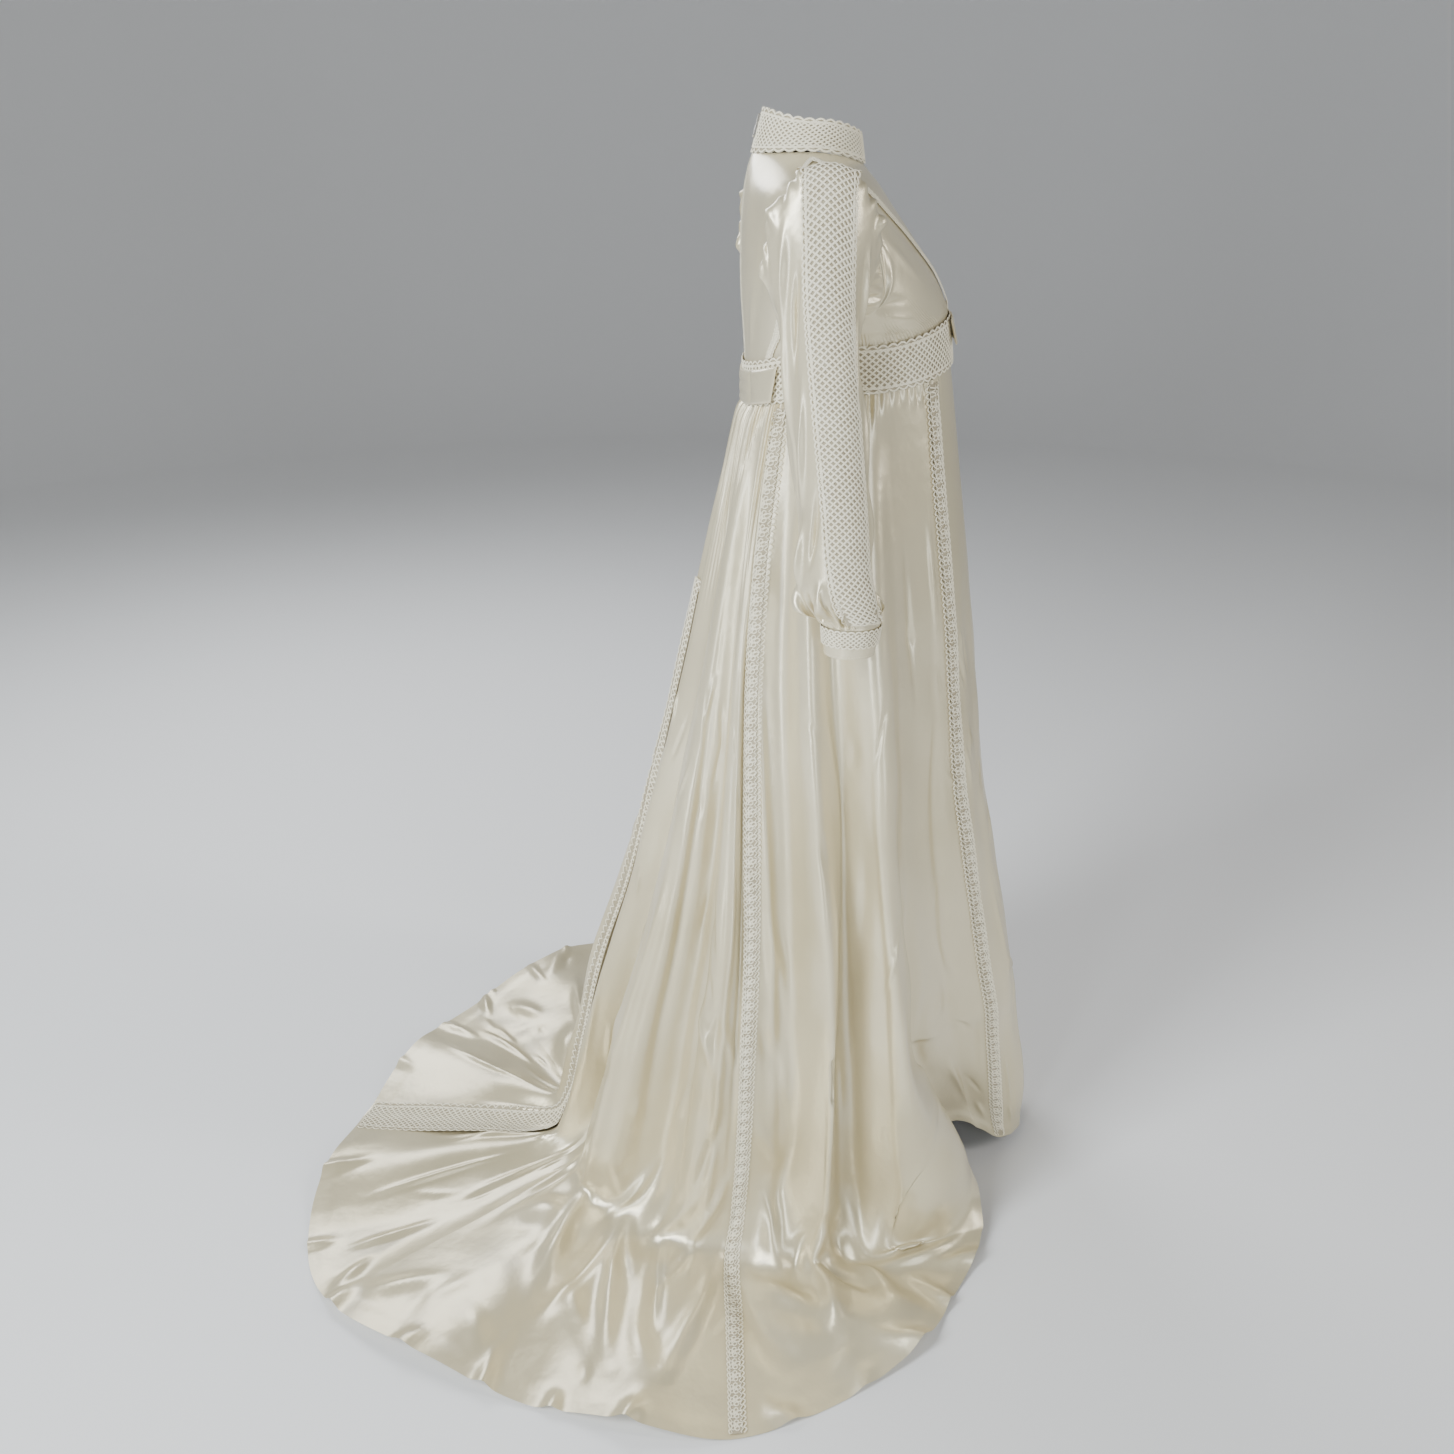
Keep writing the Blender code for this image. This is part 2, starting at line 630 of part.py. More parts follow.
def belt_point(angle, share):
    """The midriff, straight from its lower edge, 0, to its upper edge, 1."""
    return bodice_point(angle, 0.0).lerp(bodice_point(angle, MIDRIFF_TOP), share)


def make_midriff():
    """The satin band at the empire waist and the net belt that lies on it."""
    rows = (0.0, 1.0)
    grids = sheet(belt_point, rows, around_back(belt_point, ZIP_SLIT, 44), ends=(0.5 * SEAM, 0.5 * SEAM),
                  steps=BELT_STEPS)
    wall("midriff", *grids, paint("satin_midriff", SATIN, 0.32))
    girth = 0.79
    scallops = round(girth / SCALLOP_PITCH)
    lift = 0.5 * WALL + 2.0 * SEAM + 0.5 * LACE_WALL
    outer, inner = sheet(belt_point, rows, around_back(belt_point, ZIP_SLIT, 2 * scallops), 1.0, lift, LACE_WALL,
                         ends=(4.0 * SEAM, SEAM), steps=BELT_STEPS)
    for grid in (outer, inner):
        for column in range(len(grid[0])):
            if column % 2 == 0:
                for edge, other in ((0, 1), (1, 0)):
                    run = grid[other][column] - grid[edge][column]
                    grid[edge][column] = grid[edge][column] + run.normalized() * SCALLOP_DEPTH
    wall("belt_lace", outer, inner, paint("lace_belt", LACE, 0.8))


COLLAR_LIFT = 0.0022     # the collar's lower edge over the neck seam


def collar_point(angle, share):
    low = ring_at(BODICE_RINGS, RING_FIELDS, NECK_BASE)
    low["front_up"] += COLLAR_LIFT
    low["side_up"] += COLLAR_LIFT
    low["back_up"] += COLLAR_LIFT
    ring = {field: mix(low[field], COLLAR_TOP[field], share) for field in RING_FIELDS}
    return on_body_ring(ring, angle)


def make_collar():
    """The standing net collar, open at the back over the zip."""
    scallops = 30
    steps = (1.0, 0.05, 1.0)
    outer, inner = sheet(collar_point, (0.0, 1.0), around_back(collar_point, ZIP_SLIT, 2 * scallops), 1.0, 0.0,
                         LACE_WALL, steps=steps)
    for grid in (outer, inner):
        for column in range(0, len(grid[0]), 2):
            run = grid[0][column] - grid[1][column]
            grid[1][column] = grid[1][column] + run.normalized() * SCALLOP_DEPTH
    wall("collar_lace", outer, inner, paint("lace_collar", LACE, 0.8))


def make_zip():
    """The tape behind the centre back slit, and its slider with a hinged tab."""
    half = 0.5 * ZIP_TAPE_WIDTH
    thick = 0.0010
    behind = 0.5 * WALL + SEAM + 0.5 * thick
    outer, inner = [], []

    def add_row(points, inward):
        outer.append([point + inward for point in points])
        inner.append([point + inward * (1.0 + thick / inward.length) for point in points])

    def side_points(surface, middle, v, steps, extra=0.0):
        step = edge_step(surface, middle, v, half, steps)
        ahead, along = frame_of(surface, middle, v, *steps)
        out = ahead.cross(along).normalized()
        if out.y < 0.0:
            out = -out
        places = (middle - step, middle, middle + step)
        points = [surface(place, v) for place in places]
        if points[0].x > points[2].x:
            points.reverse()
        add_row(points, -out * (behind - 0.5 * thick + extra))

    for share in (0.86, 0.12):
        side_points(collar_point, 180.0, share, (1.0, 0.05, 1.0))
    for height in reversed(BODICE_ROWS):
        side_points(back_point, 0.0, height, BODICE_STEPS)
    for share in (0.94, 0.06):
        side_points(belt_point, 180.0, share, BELT_STEPS, ZIP_TUCK)
    for share in SKIRT_SHARES:
        if share < ZIP_END:
            side_points(skirt_point, 4.0, share, SKIRT_STEPS, ZIP_TUCK + GATHER_DEPTH)
    wall("zip_tape", outer, inner, paint("zip_tape", (0.85, 0.82, 0.72), 0.6))


def skirt_shares():
    return [(row / SKIRT_ROWS) ** SKIRT_ROW_EASE for row in range(SKIRT_ROWS + 1)]


SKIRT_SHARES = skirt_shares()
SKIRT_STEPS = (0.02, 0.01, 1.0)


def skirt_ripple(column, count, share):
    if column < 2 or column > count - 3:
        return 0.0
    return GATHER_DEPTH * (1.0 - smooth(0.0, GATHER_FADE, share)) * (1.0 if column % 2 else -1.0)


def seam_step(number, share, width):
    return edge_step(skirt_base, number, share, width, SKIRT_STEPS)


def make_skirt():
    """Seven gores: one in front, a side, a side back and a back on each hand."""
    part = 0.5 * SEAM
    trim = 0.5 * FLOWER_TRIM_WIDTH
    band = 0.25 * BACK_BAND_WIDTH
    floor = -NECK_BASE_CENTER.z

    def front_lines(share):
        step = seam_step(1.0, share, trim)
        return [-1.0] + spread(-1.0 + step, 1.0 - step, 9) + [1.0]

    def side_lines(share):
        low, high = seam_step(1.0, share, trim), seam_step(2.0, share, trim)
        return [1.0] + spread(1.0 + low, 2.0 - high, 16) + [2.0]

    def side_back_lines(share):
        low = seam_step(2.0, share, trim)
        return [2.0] + spread(2.0 + low, 3.0, 8)

    def back_lines(share):
        step = seam_step(3.98, share, band)
        return spread(3.0, 4.0 - 2.0 * step, 5) + [4.0 - step, 4.0]

    def gore(name, lines, pull):
        grids = sheet(skirt_point, SKIRT_SHARES, lines, -1.0, ripple=skirt_ripple, edges=pull,
                      ends=(4.0 * SEAM, 0.0), steps=SKIRT_STEPS, floor=floor)
        wall(name, *grids, paint(name.replace("skirt", "satin_skirt"), SATIN, 0.30))

    def other_hand(lines):
        return lambda share: [-value for value in reversed(lines(share))]

    def zip_pull(share):
        return 0.5 * ZIP_SLIT if share < ZIP_END else part

    gore("skirt_front", front_lines, (part, part))
    gore("skirt_side_left", side_lines, (part, part))
    gore("skirt_side_right", other_hand(side_lines), (part, part))
    gore("skirt_side_back_left", side_back_lines, (part, part))
    gore("skirt_side_back_right", other_hand(side_back_lines), (part, part))
    gore("skirt_back_left", back_lines, lambda share: (part, zip_pull(share)))
    gore("skirt_back_right", other_hand(back_lines), lambda share: (zip_pull(share), part))


def make_skirt_trims():
    """The flower trims over four seams and the wide net band down the train."""
    lift = 0.5 * WALL + SEAM + 0.5 * LACE_WALL
    for word, side in (("right", -1.0), ("left", 1.0)):
        for end, seam in (("front", 1.0), ("side_back", 2.0)):
            def trim_lines(share):
                step = seam_step(seam, share, 0.5 * FLOWER_TRIM_WIDTH)
                return [side * seam - step, side * seam, side * seam + step]

            grids = sheet(skirt_point, SKIRT_SHARES, trim_lines, -1.0, lift, LACE_WALL, ends=(SEAM, 0.0),
                          steps=SKIRT_STEPS)
            wall(f"trim_{end}_{word}", *grids, paint(f"lace_trim_{end}_{word}", LACE, 0.8))

    def band_lines(share):
        step = seam_step(3.98, share, 0.25 * BACK_BAND_WIDTH)
        return [4.0 - 2.0 * step, 4.0 - step, 4.0, 4.0 + step, 4.0 + 2.0 * step]

    rows = [share for share in SKIRT_SHARES if share > ZIP_END]
    grids = sheet(skirt_point, rows, band_lines, -1.0, lift + SEAM, LACE_WALL, steps=SKIRT_STEPS)
    wall("train_band_lace", *grids, paint("lace_train_band", LACE, 0.8))


SLEEVE_GATHERS = 0.0010


def sleeve_lines(surface):
    """Columns round a sleeve, with the lace band's own columns on its outer line."""
    def lines(place):
        center = -BAND_TWIST * (place / 10.0) ** 1.3
        step = edge_step(surface, center, max(place, 0.3), 0.5 * SLEEVE_BAND_WIDTH, (2.0, 0.1, 10.0))
        plain = SLEEVE_COLUMNS - BAND_COLUMNS
        band = spread(center - step, center + step, BAND_COLUMNS)
        return band + spread(center + step, center + 360.0 - step, plain)[1:-1]
    return lines


def make_sleeves():
    """Two sleeves gathered at the shoulder and wrist, their net bands and cuffs."""
    for word, side in (("right", -1.0), ("left", 1.0)):
        def surface(turn, place):
            return sleeve_point(side, turn, place)

        def ripple(column, count, place):
            if column <= BAND_COLUMNS:
                return 0.0
            top = smooth(0.0, 0.6, place) * (1.0 - smooth(0.8, 3.0, place))
            wrist = smooth(7.0, 8.8, place) * (1.0 - smooth(9.2, 9.9, place))
            return SLEEVE_GATHERS * (top + wrist) * (1.0 if column % 2 else -1.0)

        lines = sleeve_lines(surface)
        steps = (2.0, 0.1, 10.0)
        grids = sheet(surface, SLEEVE_STEPS, lines, -side, ripple=ripple, steps=steps)
        wall(f"sleeve_{word}", *grids, paint(f"satin_sleeve_{word}", SATIN, 0.32), closed=True)

        band_rows = SLEEVE_STEPS[1:-1]
        lift = 0.5 * WALL + SEAM + 0.5 * LACE_WALL
        grids = sheet(surface, band_rows, lambda place: lines(place)[:BAND_COLUMNS + 1], -side, lift, LACE_WALL,
                      steps=steps)
        wall(f"sleeve_band_{word}", *grids, paint(f"lace_sleeve_{word}", LACE, 0.8))

        def cuff_surface(turn, share):
            ring = {field: mix(CUFF_TOP[field], CUFF_END[field], share) for field in SLEEVE_FIELDS}
            around = math.radians(turn)
            out = 0.5 + 0.5 * math.cos(around)
            return Vector((
                side * mix(ring["in_x"], ring["out_x"], out),
                ring["y"] + ring["half_y"] * math.sin(around),
                mix(ring["in_up"], ring["out_up"], out),
            )) - NECK_BASE_CENTER

        def cuff_lines(share):
            return spread(0.0, 360.0, CUFF_COLUMNS)[:-1]

        grids = sheet(cuff_surface, (0.0, 0.55, 1.0), cuff_lines, -side, steps=(2.0, 0.1, 1.0))
        wall(f"cuff_{word}", *grids, paint(f"satin_cuff_{word}", SATIN, 0.32), closed=True)
        grids = sheet(cuff_surface, (0.06, 0.55), cuff_lines, -side, lift, LACE_WALL, steps=(2.0, 0.1, 1.0))
        wall(f"cuff_lace_{word}", *grids, paint(f"lace_cuff_{word}", LACE, 0.8), closed=True)


BOWS = (
    # name          middle  knot  wing_top wing_foot low   high  flare
    ("bow_back", 180.0, 20.5, 45.0, 41.0, 0.06, 0.80, 0.0010),
    ("bow_front", 0.0, 4.0, 25.0, 24.0, 0.44, 0.97, 0.0040),
)
BOW_FIELDS = ("name", "middle", "knot", "wing_top", "wing_foot", "low", "high", "flare")
BOW_THICK = 0.0030       # two layers pressed flat
BOW_LIFT = 0.0046        # clear of the belt's lace
BOW_STAND = 0.0030       # how far a wing's end stands off


def make_bows():
    """Two flat tailored bows, a knot between two wings each."""
    for row in BOWS:
        bow = dict(zip(BOW_FIELDS, row))
        parts = [("knot", -bow["knot"], -bow["knot"], bow["knot"], bow["knot"], 10)]
        for word, side in (("right", 1.0), ("left", -1.0)):
            if bow["middle"] == 0.0:
                side = -side
            near = side * (bow["knot"] + 0.3)
            parts.append((word, near, near, side * bow["wing_top"], side * bow["wing_foot"], 5))
        for word, start_top, start_foot, end_top, end_foot, columns in parts:
            outer, inner = [], []
            for level, start, end in ((bow["low"], start_foot, end_foot), (bow["high"], start_top, end_top)):
                outer_row, inner_row = [], []
                for column in range(columns + 1):
                    share = column / columns
                    angle = bow["middle"] + mix(start, end, share)
                    ahead, along = frame_of(belt_point, angle, level, *BELT_STEPS)
                    out = ahead.cross(along).normalized()
                    lift = BOW_LIFT + (0.0 if word == "knot" else BOW_STAND * share * share)
                    lift += bow["flare"] * (share if word != "knot" else 0.0) * (level == bow["low"])
                    point = belt_point(angle, level)
                    outer_row.append(point + out * (lift + 0.5 * BOW_THICK))
                    inner_row.append(point + out * (lift - 0.5 * BOW_THICK))
                outer.append(outer_row)
                inner.append(inner_row)
            name = f"{bow['name']}_{word}"
            wall(name, outer, inner, paint(f"satin_{name}", SATIN, 0.30))


SLIDER_SHARE = 0.74      # the slider's place up the collar
SLIDER_PROFILE = (
    (-3.5, 0.0), (3.5, 0.0), (3.5, 3.2), (2.3, 3.2), (2.3, 1.2), (-2.3, 1.2), (-2.3, 3.2), (-3.5, 3.2),
)
SLIDER_HALF_TALL = 0.004
PULL_OUTLINE = ((-1.9, 0.8), (1.9, 0.8), (1.9, -5.0), (3.0, -7.0), (3.0, -19.0), (1.5, -20.5), (-1.5, -20.5),
                (-3.0, -19.0), (-3.0, -7.0), (-1.9, -5.0))
PULL_AXIS_OUT = 0.0024   # the hinge axis over the slider's back
PULL_THICK = 0.0012


def prism(name, low, high, material):
    """A closed solid between two like outlines."""
    count = len(low)
    faces = [tuple(reversed(range(count))), tuple(range(count, 2 * count))]
    for corner in range(count):
        after = (corner + 1) % count
        faces.append((corner, after, count + after, count + corner))
    points = list(low) + list(high)
    area = 0.0
    for face in faces:
        for second, third in zip(face[1:], face[2:]):
            area += points[face[0]].dot(points[second].cross(points[third]))
    if area < 0.0:
        faces = [tuple(reversed(face)) for face in faces]
    return add_piece(name, points, faces, material)


def make_slider():
    """The zip's slider on the collar and the pull tab that hinges between its ears."""
    millimetre = 0.001
    place = collar_point(180.0, SLIDER_SHARE)
    ahead, along = frame_of(collar_point, 180.0, SLIDER_SHARE, 1.0, 0.05, 1.0)
    up = along.normalized()
    out = ahead.cross(along).normalized()
    sideways = Vector((1.0, 0.0, 0.0))
    foot = place + out * (0.5 * LACE_WALL + SEAM)

    def at(x, y, z):
        return foot + sideways * x + out * y + up * z

    ends = []
    for height in (-SLIDER_HALF_TALL, SLIDER_HALF_TALL):
        ends.append([at(x * millimetre, y * millimetre, height) for x, y in SLIDER_PROFILE])
    prism("zip_slider", *ends, paint("zip_slider", METAL, 0.35, 1.0))
    sides = []
    for level in (-0.5 * PULL_THICK, 0.5 * PULL_THICK):
        sides.append([at(x * millimetre, PULL_AXIS_OUT + level, z * millimetre) for x, z in PULL_OUTLINE])
    prism("zip_pull", *sides, paint("zip_pull", METAL, 0.35, 1.0))


make_bodice()
make_braids()
make_midriff()
make_collar()
make_skirt()
make_skirt_trims()
make_sleeves()
make_bows()
make_zip()
make_slider()
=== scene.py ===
import math

import bpy
import numpy as np
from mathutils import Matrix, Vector


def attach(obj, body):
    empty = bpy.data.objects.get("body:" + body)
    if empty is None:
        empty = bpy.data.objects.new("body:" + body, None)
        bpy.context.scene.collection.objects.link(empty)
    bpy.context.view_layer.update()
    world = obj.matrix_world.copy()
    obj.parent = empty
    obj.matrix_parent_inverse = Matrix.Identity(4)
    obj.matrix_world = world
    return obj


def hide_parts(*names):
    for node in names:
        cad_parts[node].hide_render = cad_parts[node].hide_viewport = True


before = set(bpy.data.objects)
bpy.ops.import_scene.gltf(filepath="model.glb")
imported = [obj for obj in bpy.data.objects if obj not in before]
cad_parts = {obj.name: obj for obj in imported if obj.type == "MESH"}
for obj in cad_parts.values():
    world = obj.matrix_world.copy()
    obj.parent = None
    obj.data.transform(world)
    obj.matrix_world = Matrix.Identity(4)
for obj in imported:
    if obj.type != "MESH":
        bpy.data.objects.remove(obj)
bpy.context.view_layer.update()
print("frame loaded")

neckBase = np.array((0.0, 0.055, 1.375))  # the part's zero, from the floor
floorLevel = -neckBase[2]


# ---------- curves and surfaces ----------

def mix(low, high, share):
    return low + (high - low) * share


def smooth(low, high, value):
    share = np.clip((value - low) / (high - low), 0.0, 1.0)
    return share * share * (3.0 - 2.0 * share)


def bump(distance):
    return np.where(np.abs(distance) < 1.0, 0.5 + 0.5 * np.cos(np.pi * np.clip(distance, -1.0, 1.0)), 0.0)


def alongRows(values, place):  # smooth curve through rows 0, 1, 2 ... of values
    values = np.asarray(values, float)
    last = len(values) - 1
    place = np.clip(place, 0.0, last)
    row = np.minimum(place.astype(int), last - 1)
    share = place - row
    before = values[np.maximum(row - 1, 0)]
    after = values[np.minimum(row + 2, last)]
    start, end = values[row], values[row + 1]
    share = share.reshape(share.shape + (1,) * (start.ndim - share.ndim))
    return 0.5 * (2.0 * start + (end - before) * share
                  + (2.0 * before - 5.0 * start + 4.0 * end - after) * share ** 2
                  + (3.0 * start - before - 3.0 * end + after) * share ** 3)


def unit(vectors):
    size = np.linalg.norm(vectors, axis=-1, keepdims=True)
    return vectors / np.maximum(size, 1e-9)


def fieldFrom(points, rows, columns, sign):  # a surface kept as a grid, with its outward normals
    ahead = np.gradient(points, columns, axis=1)
    along = np.gradient(points, rows, axis=0)
    return {"points": points, "outs": unit(np.cross(ahead, along)) * sign, "rows": rows, "columns": columns,
            "ahead": unit(ahead), "sign": sign}


def pushed(field, height):  # the surface moved out by a height at each point of its grid
    return fieldFrom(field["points"] + field["outs"] * height[..., None], field["rows"], field["columns"],
                     field["sign"])


def onField(field, across, down, lift=0.0):  # points of a surface at any places, raised by lift
    across, down, lift = np.broadcast_arrays(across, down, lift)
    columns, rows = field["columns"], field["rows"]
    x = np.interp(across, columns, np.arange(len(columns)))
    y = np.interp(down, rows, np.arange(len(rows)))
    column = np.minimum(x.astype(int), len(columns) - 2)
    row = np.minimum(y.astype(int), len(rows) - 2)
    fx, fy = (x - column)[..., None], (y - row)[..., None]
    found = []
    for grid in (field["points"], field["outs"]):
        top = mix(grid[row, column], grid[row, column + 1], fx)
        foot = mix(grid[row + 1, column], grid[row + 1, column + 1], fx)
        found.append(mix(top, foot, fy))
    return found[0] + unit(found[1]) * lift[..., None]


# ---------- meshes ----------

def meshFrom(name, points, faces, material, body="dress", uv=None):
    mesh = bpy.data.meshes.new(name)
    mesh.from_pydata([], [], [])
    points = np.asarray(points, np.float32).reshape(-1, 3)
    faces = np.asarray(faces, np.int32)
    sides = faces.shape[1]
    mesh.vertices.add(len(points))
    mesh.vertices.foreach_set("co", points.ravel())
    mesh.loops.add(faces.size)
    mesh.loops.foreach_set("vertex_index", faces.ravel())
    mesh.polygons.add(len(faces))
    mesh.polygons.foreach_set("loop_start", np.arange(0, faces.size, sides, dtype=np.int32))
    mesh.polygons.foreach_set("use_smooth", np.ones(len(faces), bool))
    mesh.update(calc_edges=True)
    mesh.validate()
    if uv is not None:
        layer = mesh.uv_layers.new(name="cloth")
        layer.data.foreach_set("uv", np.asarray(uv, np.float32)[faces.ravel()].ravel())
    mesh.materials.append(material)
    piece = bpy.data.objects.new(name, mesh)
    bpy.context.collection.objects.link(piece)
    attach(piece, body)
    return piece


def gridFaces(rows, columns, closed=False, start=0):
    wide = columns if closed else columns - 1
    row, column = np.meshgrid(np.arange(rows - 1), np.arange(wide), indexing="ij")
    after = (column + 1) % columns
    a, b = row * columns + column, row * columns + after
    c, d = (row + 1) * columns + after, (row + 1) * columns + column
    return np.stack((a, b, c, d), -1).reshape(-1, 4) + start


def clothFrom(name, grid, material, nodes, closed=False, flip=False):
    faces = gridFaces(*grid.shape[:2], closed=closed)
    if flip:
        faces = faces[:, ::-1]
    piece = meshFrom(name, grid, faces, material)
    for node in nodes:
        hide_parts(node)
    return piece


# ---------- materials ----------

def surfaceMaterial(name, look):
    material = bpy.data.materials.new(name)
    material.use_nodes = True
    nodes, links = material.node_tree.nodes, material.node_tree.links
    shader = nodes["Principled BSDF"]
    shader.inputs["Roughness"].default_value = look["rough"]
    shader.inputs["Metallic"].default_value = look.get("metal", 0.0)
    shader.inputs["Sheen Weight"].default_value = look.get("sheen", 0.0)
    shader.inputs["Sheen Roughness"].default_value = 0.35
    shader.inputs["Specular IOR Level"].default_value = look.get("specular", 0.5)
    shader.inputs["IOR"].default_value = look.get("ior", 1.5)
    shader.inputs["Coat Weight"].default_value = look.get("coat", 0.0)
    shader.inputs["Coat Roughness"].default_value = 0.24
    shader.inputs["Coat IOR"].default_value = 1.8
    place = nodes.new("ShaderNodeTexCoord")
    cloud = nodes.new("ShaderNodeTexNoise")
    cloud.inputs["Scale"].default_value = look["cloudScale"]
    cloud.inputs["Detail"].default_value = 3.0
    ramp = nodes.new("ShaderNodeValToRGB")
    ramp.color_ramp.elements[0].position = 0.3
    ramp.color_ramp.elements[1].position = 0.7
    ramp.color_ramp.elements[0].color = (*look["dark"], 1.0)
    ramp.color_ramp.elements[1].color = (*look["light"], 1.0)
    links.new(place.outputs["Object"], cloud.inputs["Vector"])
    links.new(cloud.outputs["Fac"], ramp.inputs["Fac"])
    links.new(ramp.outputs["Color"], shader.inputs["Base Color"])
    weave = nodes.new("ShaderNodeTexNoise")
    weave.inputs["Scale"].default_value = look["weaveScale"]
    weave.inputs["Detail"].default_value = 4.0
    relief = nodes.new("ShaderNodeBump")
    relief.inputs["Strength"].default_value = look["weaveStrength"]
    relief.inputs["Distance"].default_value = look["weaveDeep"]
    links.new(place.outputs["Object"], weave.inputs["Vector"])
    links.new(weave.outputs["Fac"], relief.inputs["Height"])
    links.new(relief.outputs["Normal"], shader.inputs["Normal"])
    if "rumple" in look:
        stretch = nodes.new("ShaderNodeMapping")
        stretch.inputs["Scale"].default_value = look["rumple"]["stretch"]
        rumple = nodes.new("ShaderNodeTexNoise")
        rumple.noise_type = "RIDGED_MULTIFRACTAL"
        rumple.inputs["Scale"].default_value = look["rumple"]["scale"]
        rumple.inputs["Detail"].default_value = 2.0
        rumple.inputs["Roughness"].default_value = 0.5
        rumple.inputs["Distortion"].default_value = 0.4
        crumple = nodes.new("ShaderNodeBump")
        crumple.inputs["Strength"].default_value = look["rumple"]["strength"]
        crumple.inputs["Distance"].default_value = look["rumple"]["deep"]
        links.new(place.outputs["Object"], stretch.inputs["Vector"])
        links.new(stretch.outputs["Vector"], rumple.inputs["Vector"])
        links.new(rumple.outputs["Fac"], crumple.inputs["Height"])
        links.new(crumple.outputs["Normal"], relief.inputs["Normal"])
    return material


satinLook = {"light": (0.78, 0.70, 0.49), "dark": (0.61, 0.53, 0.33), "rough": 0.34, "metal": 0.42, "ior": 1.5, "coat": 0.55,
             "specular": 0.5, "cloudScale": 3.0, "weaveScale": 13.0, "weaveStrength": 0.50, "weaveDeep": 0.007,
             "rumple": {"scale": 6.5, "stretch": (1.0, 1.0, 0.5), "strength": 0.85, "deep": 0.020}}
laceLook = {"light": (0.95, 0.89, 0.70), "dark": (0.89, 0.82, 0.62), "rough": 0.85, "sheen": 0.3,
            "specular": 0.25, "cloudScale": 60.0, "weaveScale": 900.0, "weaveStrength": 0.6, "weaveDeep": 0.0006}
# the lace ground is a real sheet, but this colour is darkened well below the lace and the satin: painted shade
# standing in for the shadow in the net's holes between the threads
groundShadeLook = {"light": (0.50, 0.44, 0.31), "dark": (0.40, 0.34, 0.23), "rough": 0.8, "sheen": 0.1,
              "specular": 0.25, "cloudScale": 60.0, "weaveScale": 700.0, "weaveStrength": 0.5, "weaveDeep": 0.0005}
tapeLook = {"light": (0.80, 0.76, 0.65), "dark": (0.75, 0.70, 0.58), "rough": 0.7, "cloudScale": 90.0,
            "weaveScale": 900.0, "weaveStrength": 0.4, "weaveDeep": 0.0004}
metalLook = {"light": (0.72, 0.70, 0.66), "dark": (0.60, 0.58, 0.54), "rough": 0.32, "metal": 1.0,
             "cloudScale": 200.0, "weaveScale": 700.0, "weaveStrength": 0.1, "weaveDeep": 0.0002}
satin = surfaceMaterial("satinCloth", satinLook)
lace = surfaceMaterial("laceThread", laceLook)
# the ground sheets under the lace threads take this darkened colour, painted shade in the holes of the net
ground = surfaceMaterial("laceGroundShade", groundShadeLook)
tape = surfaceMaterial("zipTape", tapeLook)
metal = surfaceMaterial("zipMetal", metalLook)
print("materials made")


# ---------- the body of the dress ----------

# front, front_up, half, side, side_up, back, back_up, from the midriff's lower edge to the neck
bodiceRings = np.array((
    (-0.120, 1.157, 0.130, 0.005, 1.138, 0.1230, 1.106),
    (-0.112, 1.213, 0.129, 0.008, 1.190, 0.1235, 1.158),
    (-0.106, 1.232, 0.137, 0.012, 1.208, 0.1250, 1.190),
    (-0.089, 1.264, 0.149, 0.022, 1.238, 0.1280, 1.232),
    (-0.064, 1.298, 0.156, 0.035, 1.275, 0.1290, 1.275),
    (-0.043, 1.325, 0.162, 0.045, 1.310, 0.1280, 1.315),
    (-0.024, 1.350, 0.165, 0.055, 1.343, 0.1250, 1.345),
    (-0.015, 1.361, 0.118, 0.060, 1.366, 0.1210, 1.366),
    (-0.009, 1.369, 0.063, 0.060, 1.383, 0.1165, 1.381),
))
collarTop = np.array((-0.004, 1.402, 0.057, 0.051, 1.416, 0.104, 1.428))
midriffTop, shoulderPoint, underarm, neckPlace = 1.0, 6.0, 2.45, 8.0
armholeReach = 24.0
neckShare = 0.40
sideSeamShare = 0.30
seamHeights = (0.0, 0.25, 0.5, 0.75, 1.0)
frontSeam = (0.045, 0.120, 0.210, 0.330, 0.550)  # share of the half panel, at those heights
backSeam = (0.40, 0.40, 0.42, 0.47, 0.55)


def onRing(ring, angle):  # ring columns as in bodiceRings; angle 0 is the front, 90 the wearer's left
    turn = np.radians(angle)
    ahead = np.cos(turn)
    end = np.where(ahead > 0.0, ring[..., 0], ring[..., 5])
    endUp = np.where(ahead > 0.0, ring[..., 1], ring[..., 6])
    x = ring[..., 2] * np.sin(turn)
    y = mix(ring[..., 3], end, np.abs(ahead))
    up = mix(ring[..., 4], endUp, ahead * ahead)
    return np.stack((x, y, up), -1) - neckBase


def onBodice(angle, place):
    angle, place = np.broadcast_arrays(np.asarray(angle, float), np.asarray(place, float))
    return onRing(alongRows(bodiceRings, place), angle)


def armhole(share):
    turn = np.pi * share
    middle, half = 0.5 * (underarm + shoulderPoint), 0.5 * (shoulderPoint - underarm)
    return 90.0 - armholeReach * np.sin(turn), middle - half * np.cos(turn)


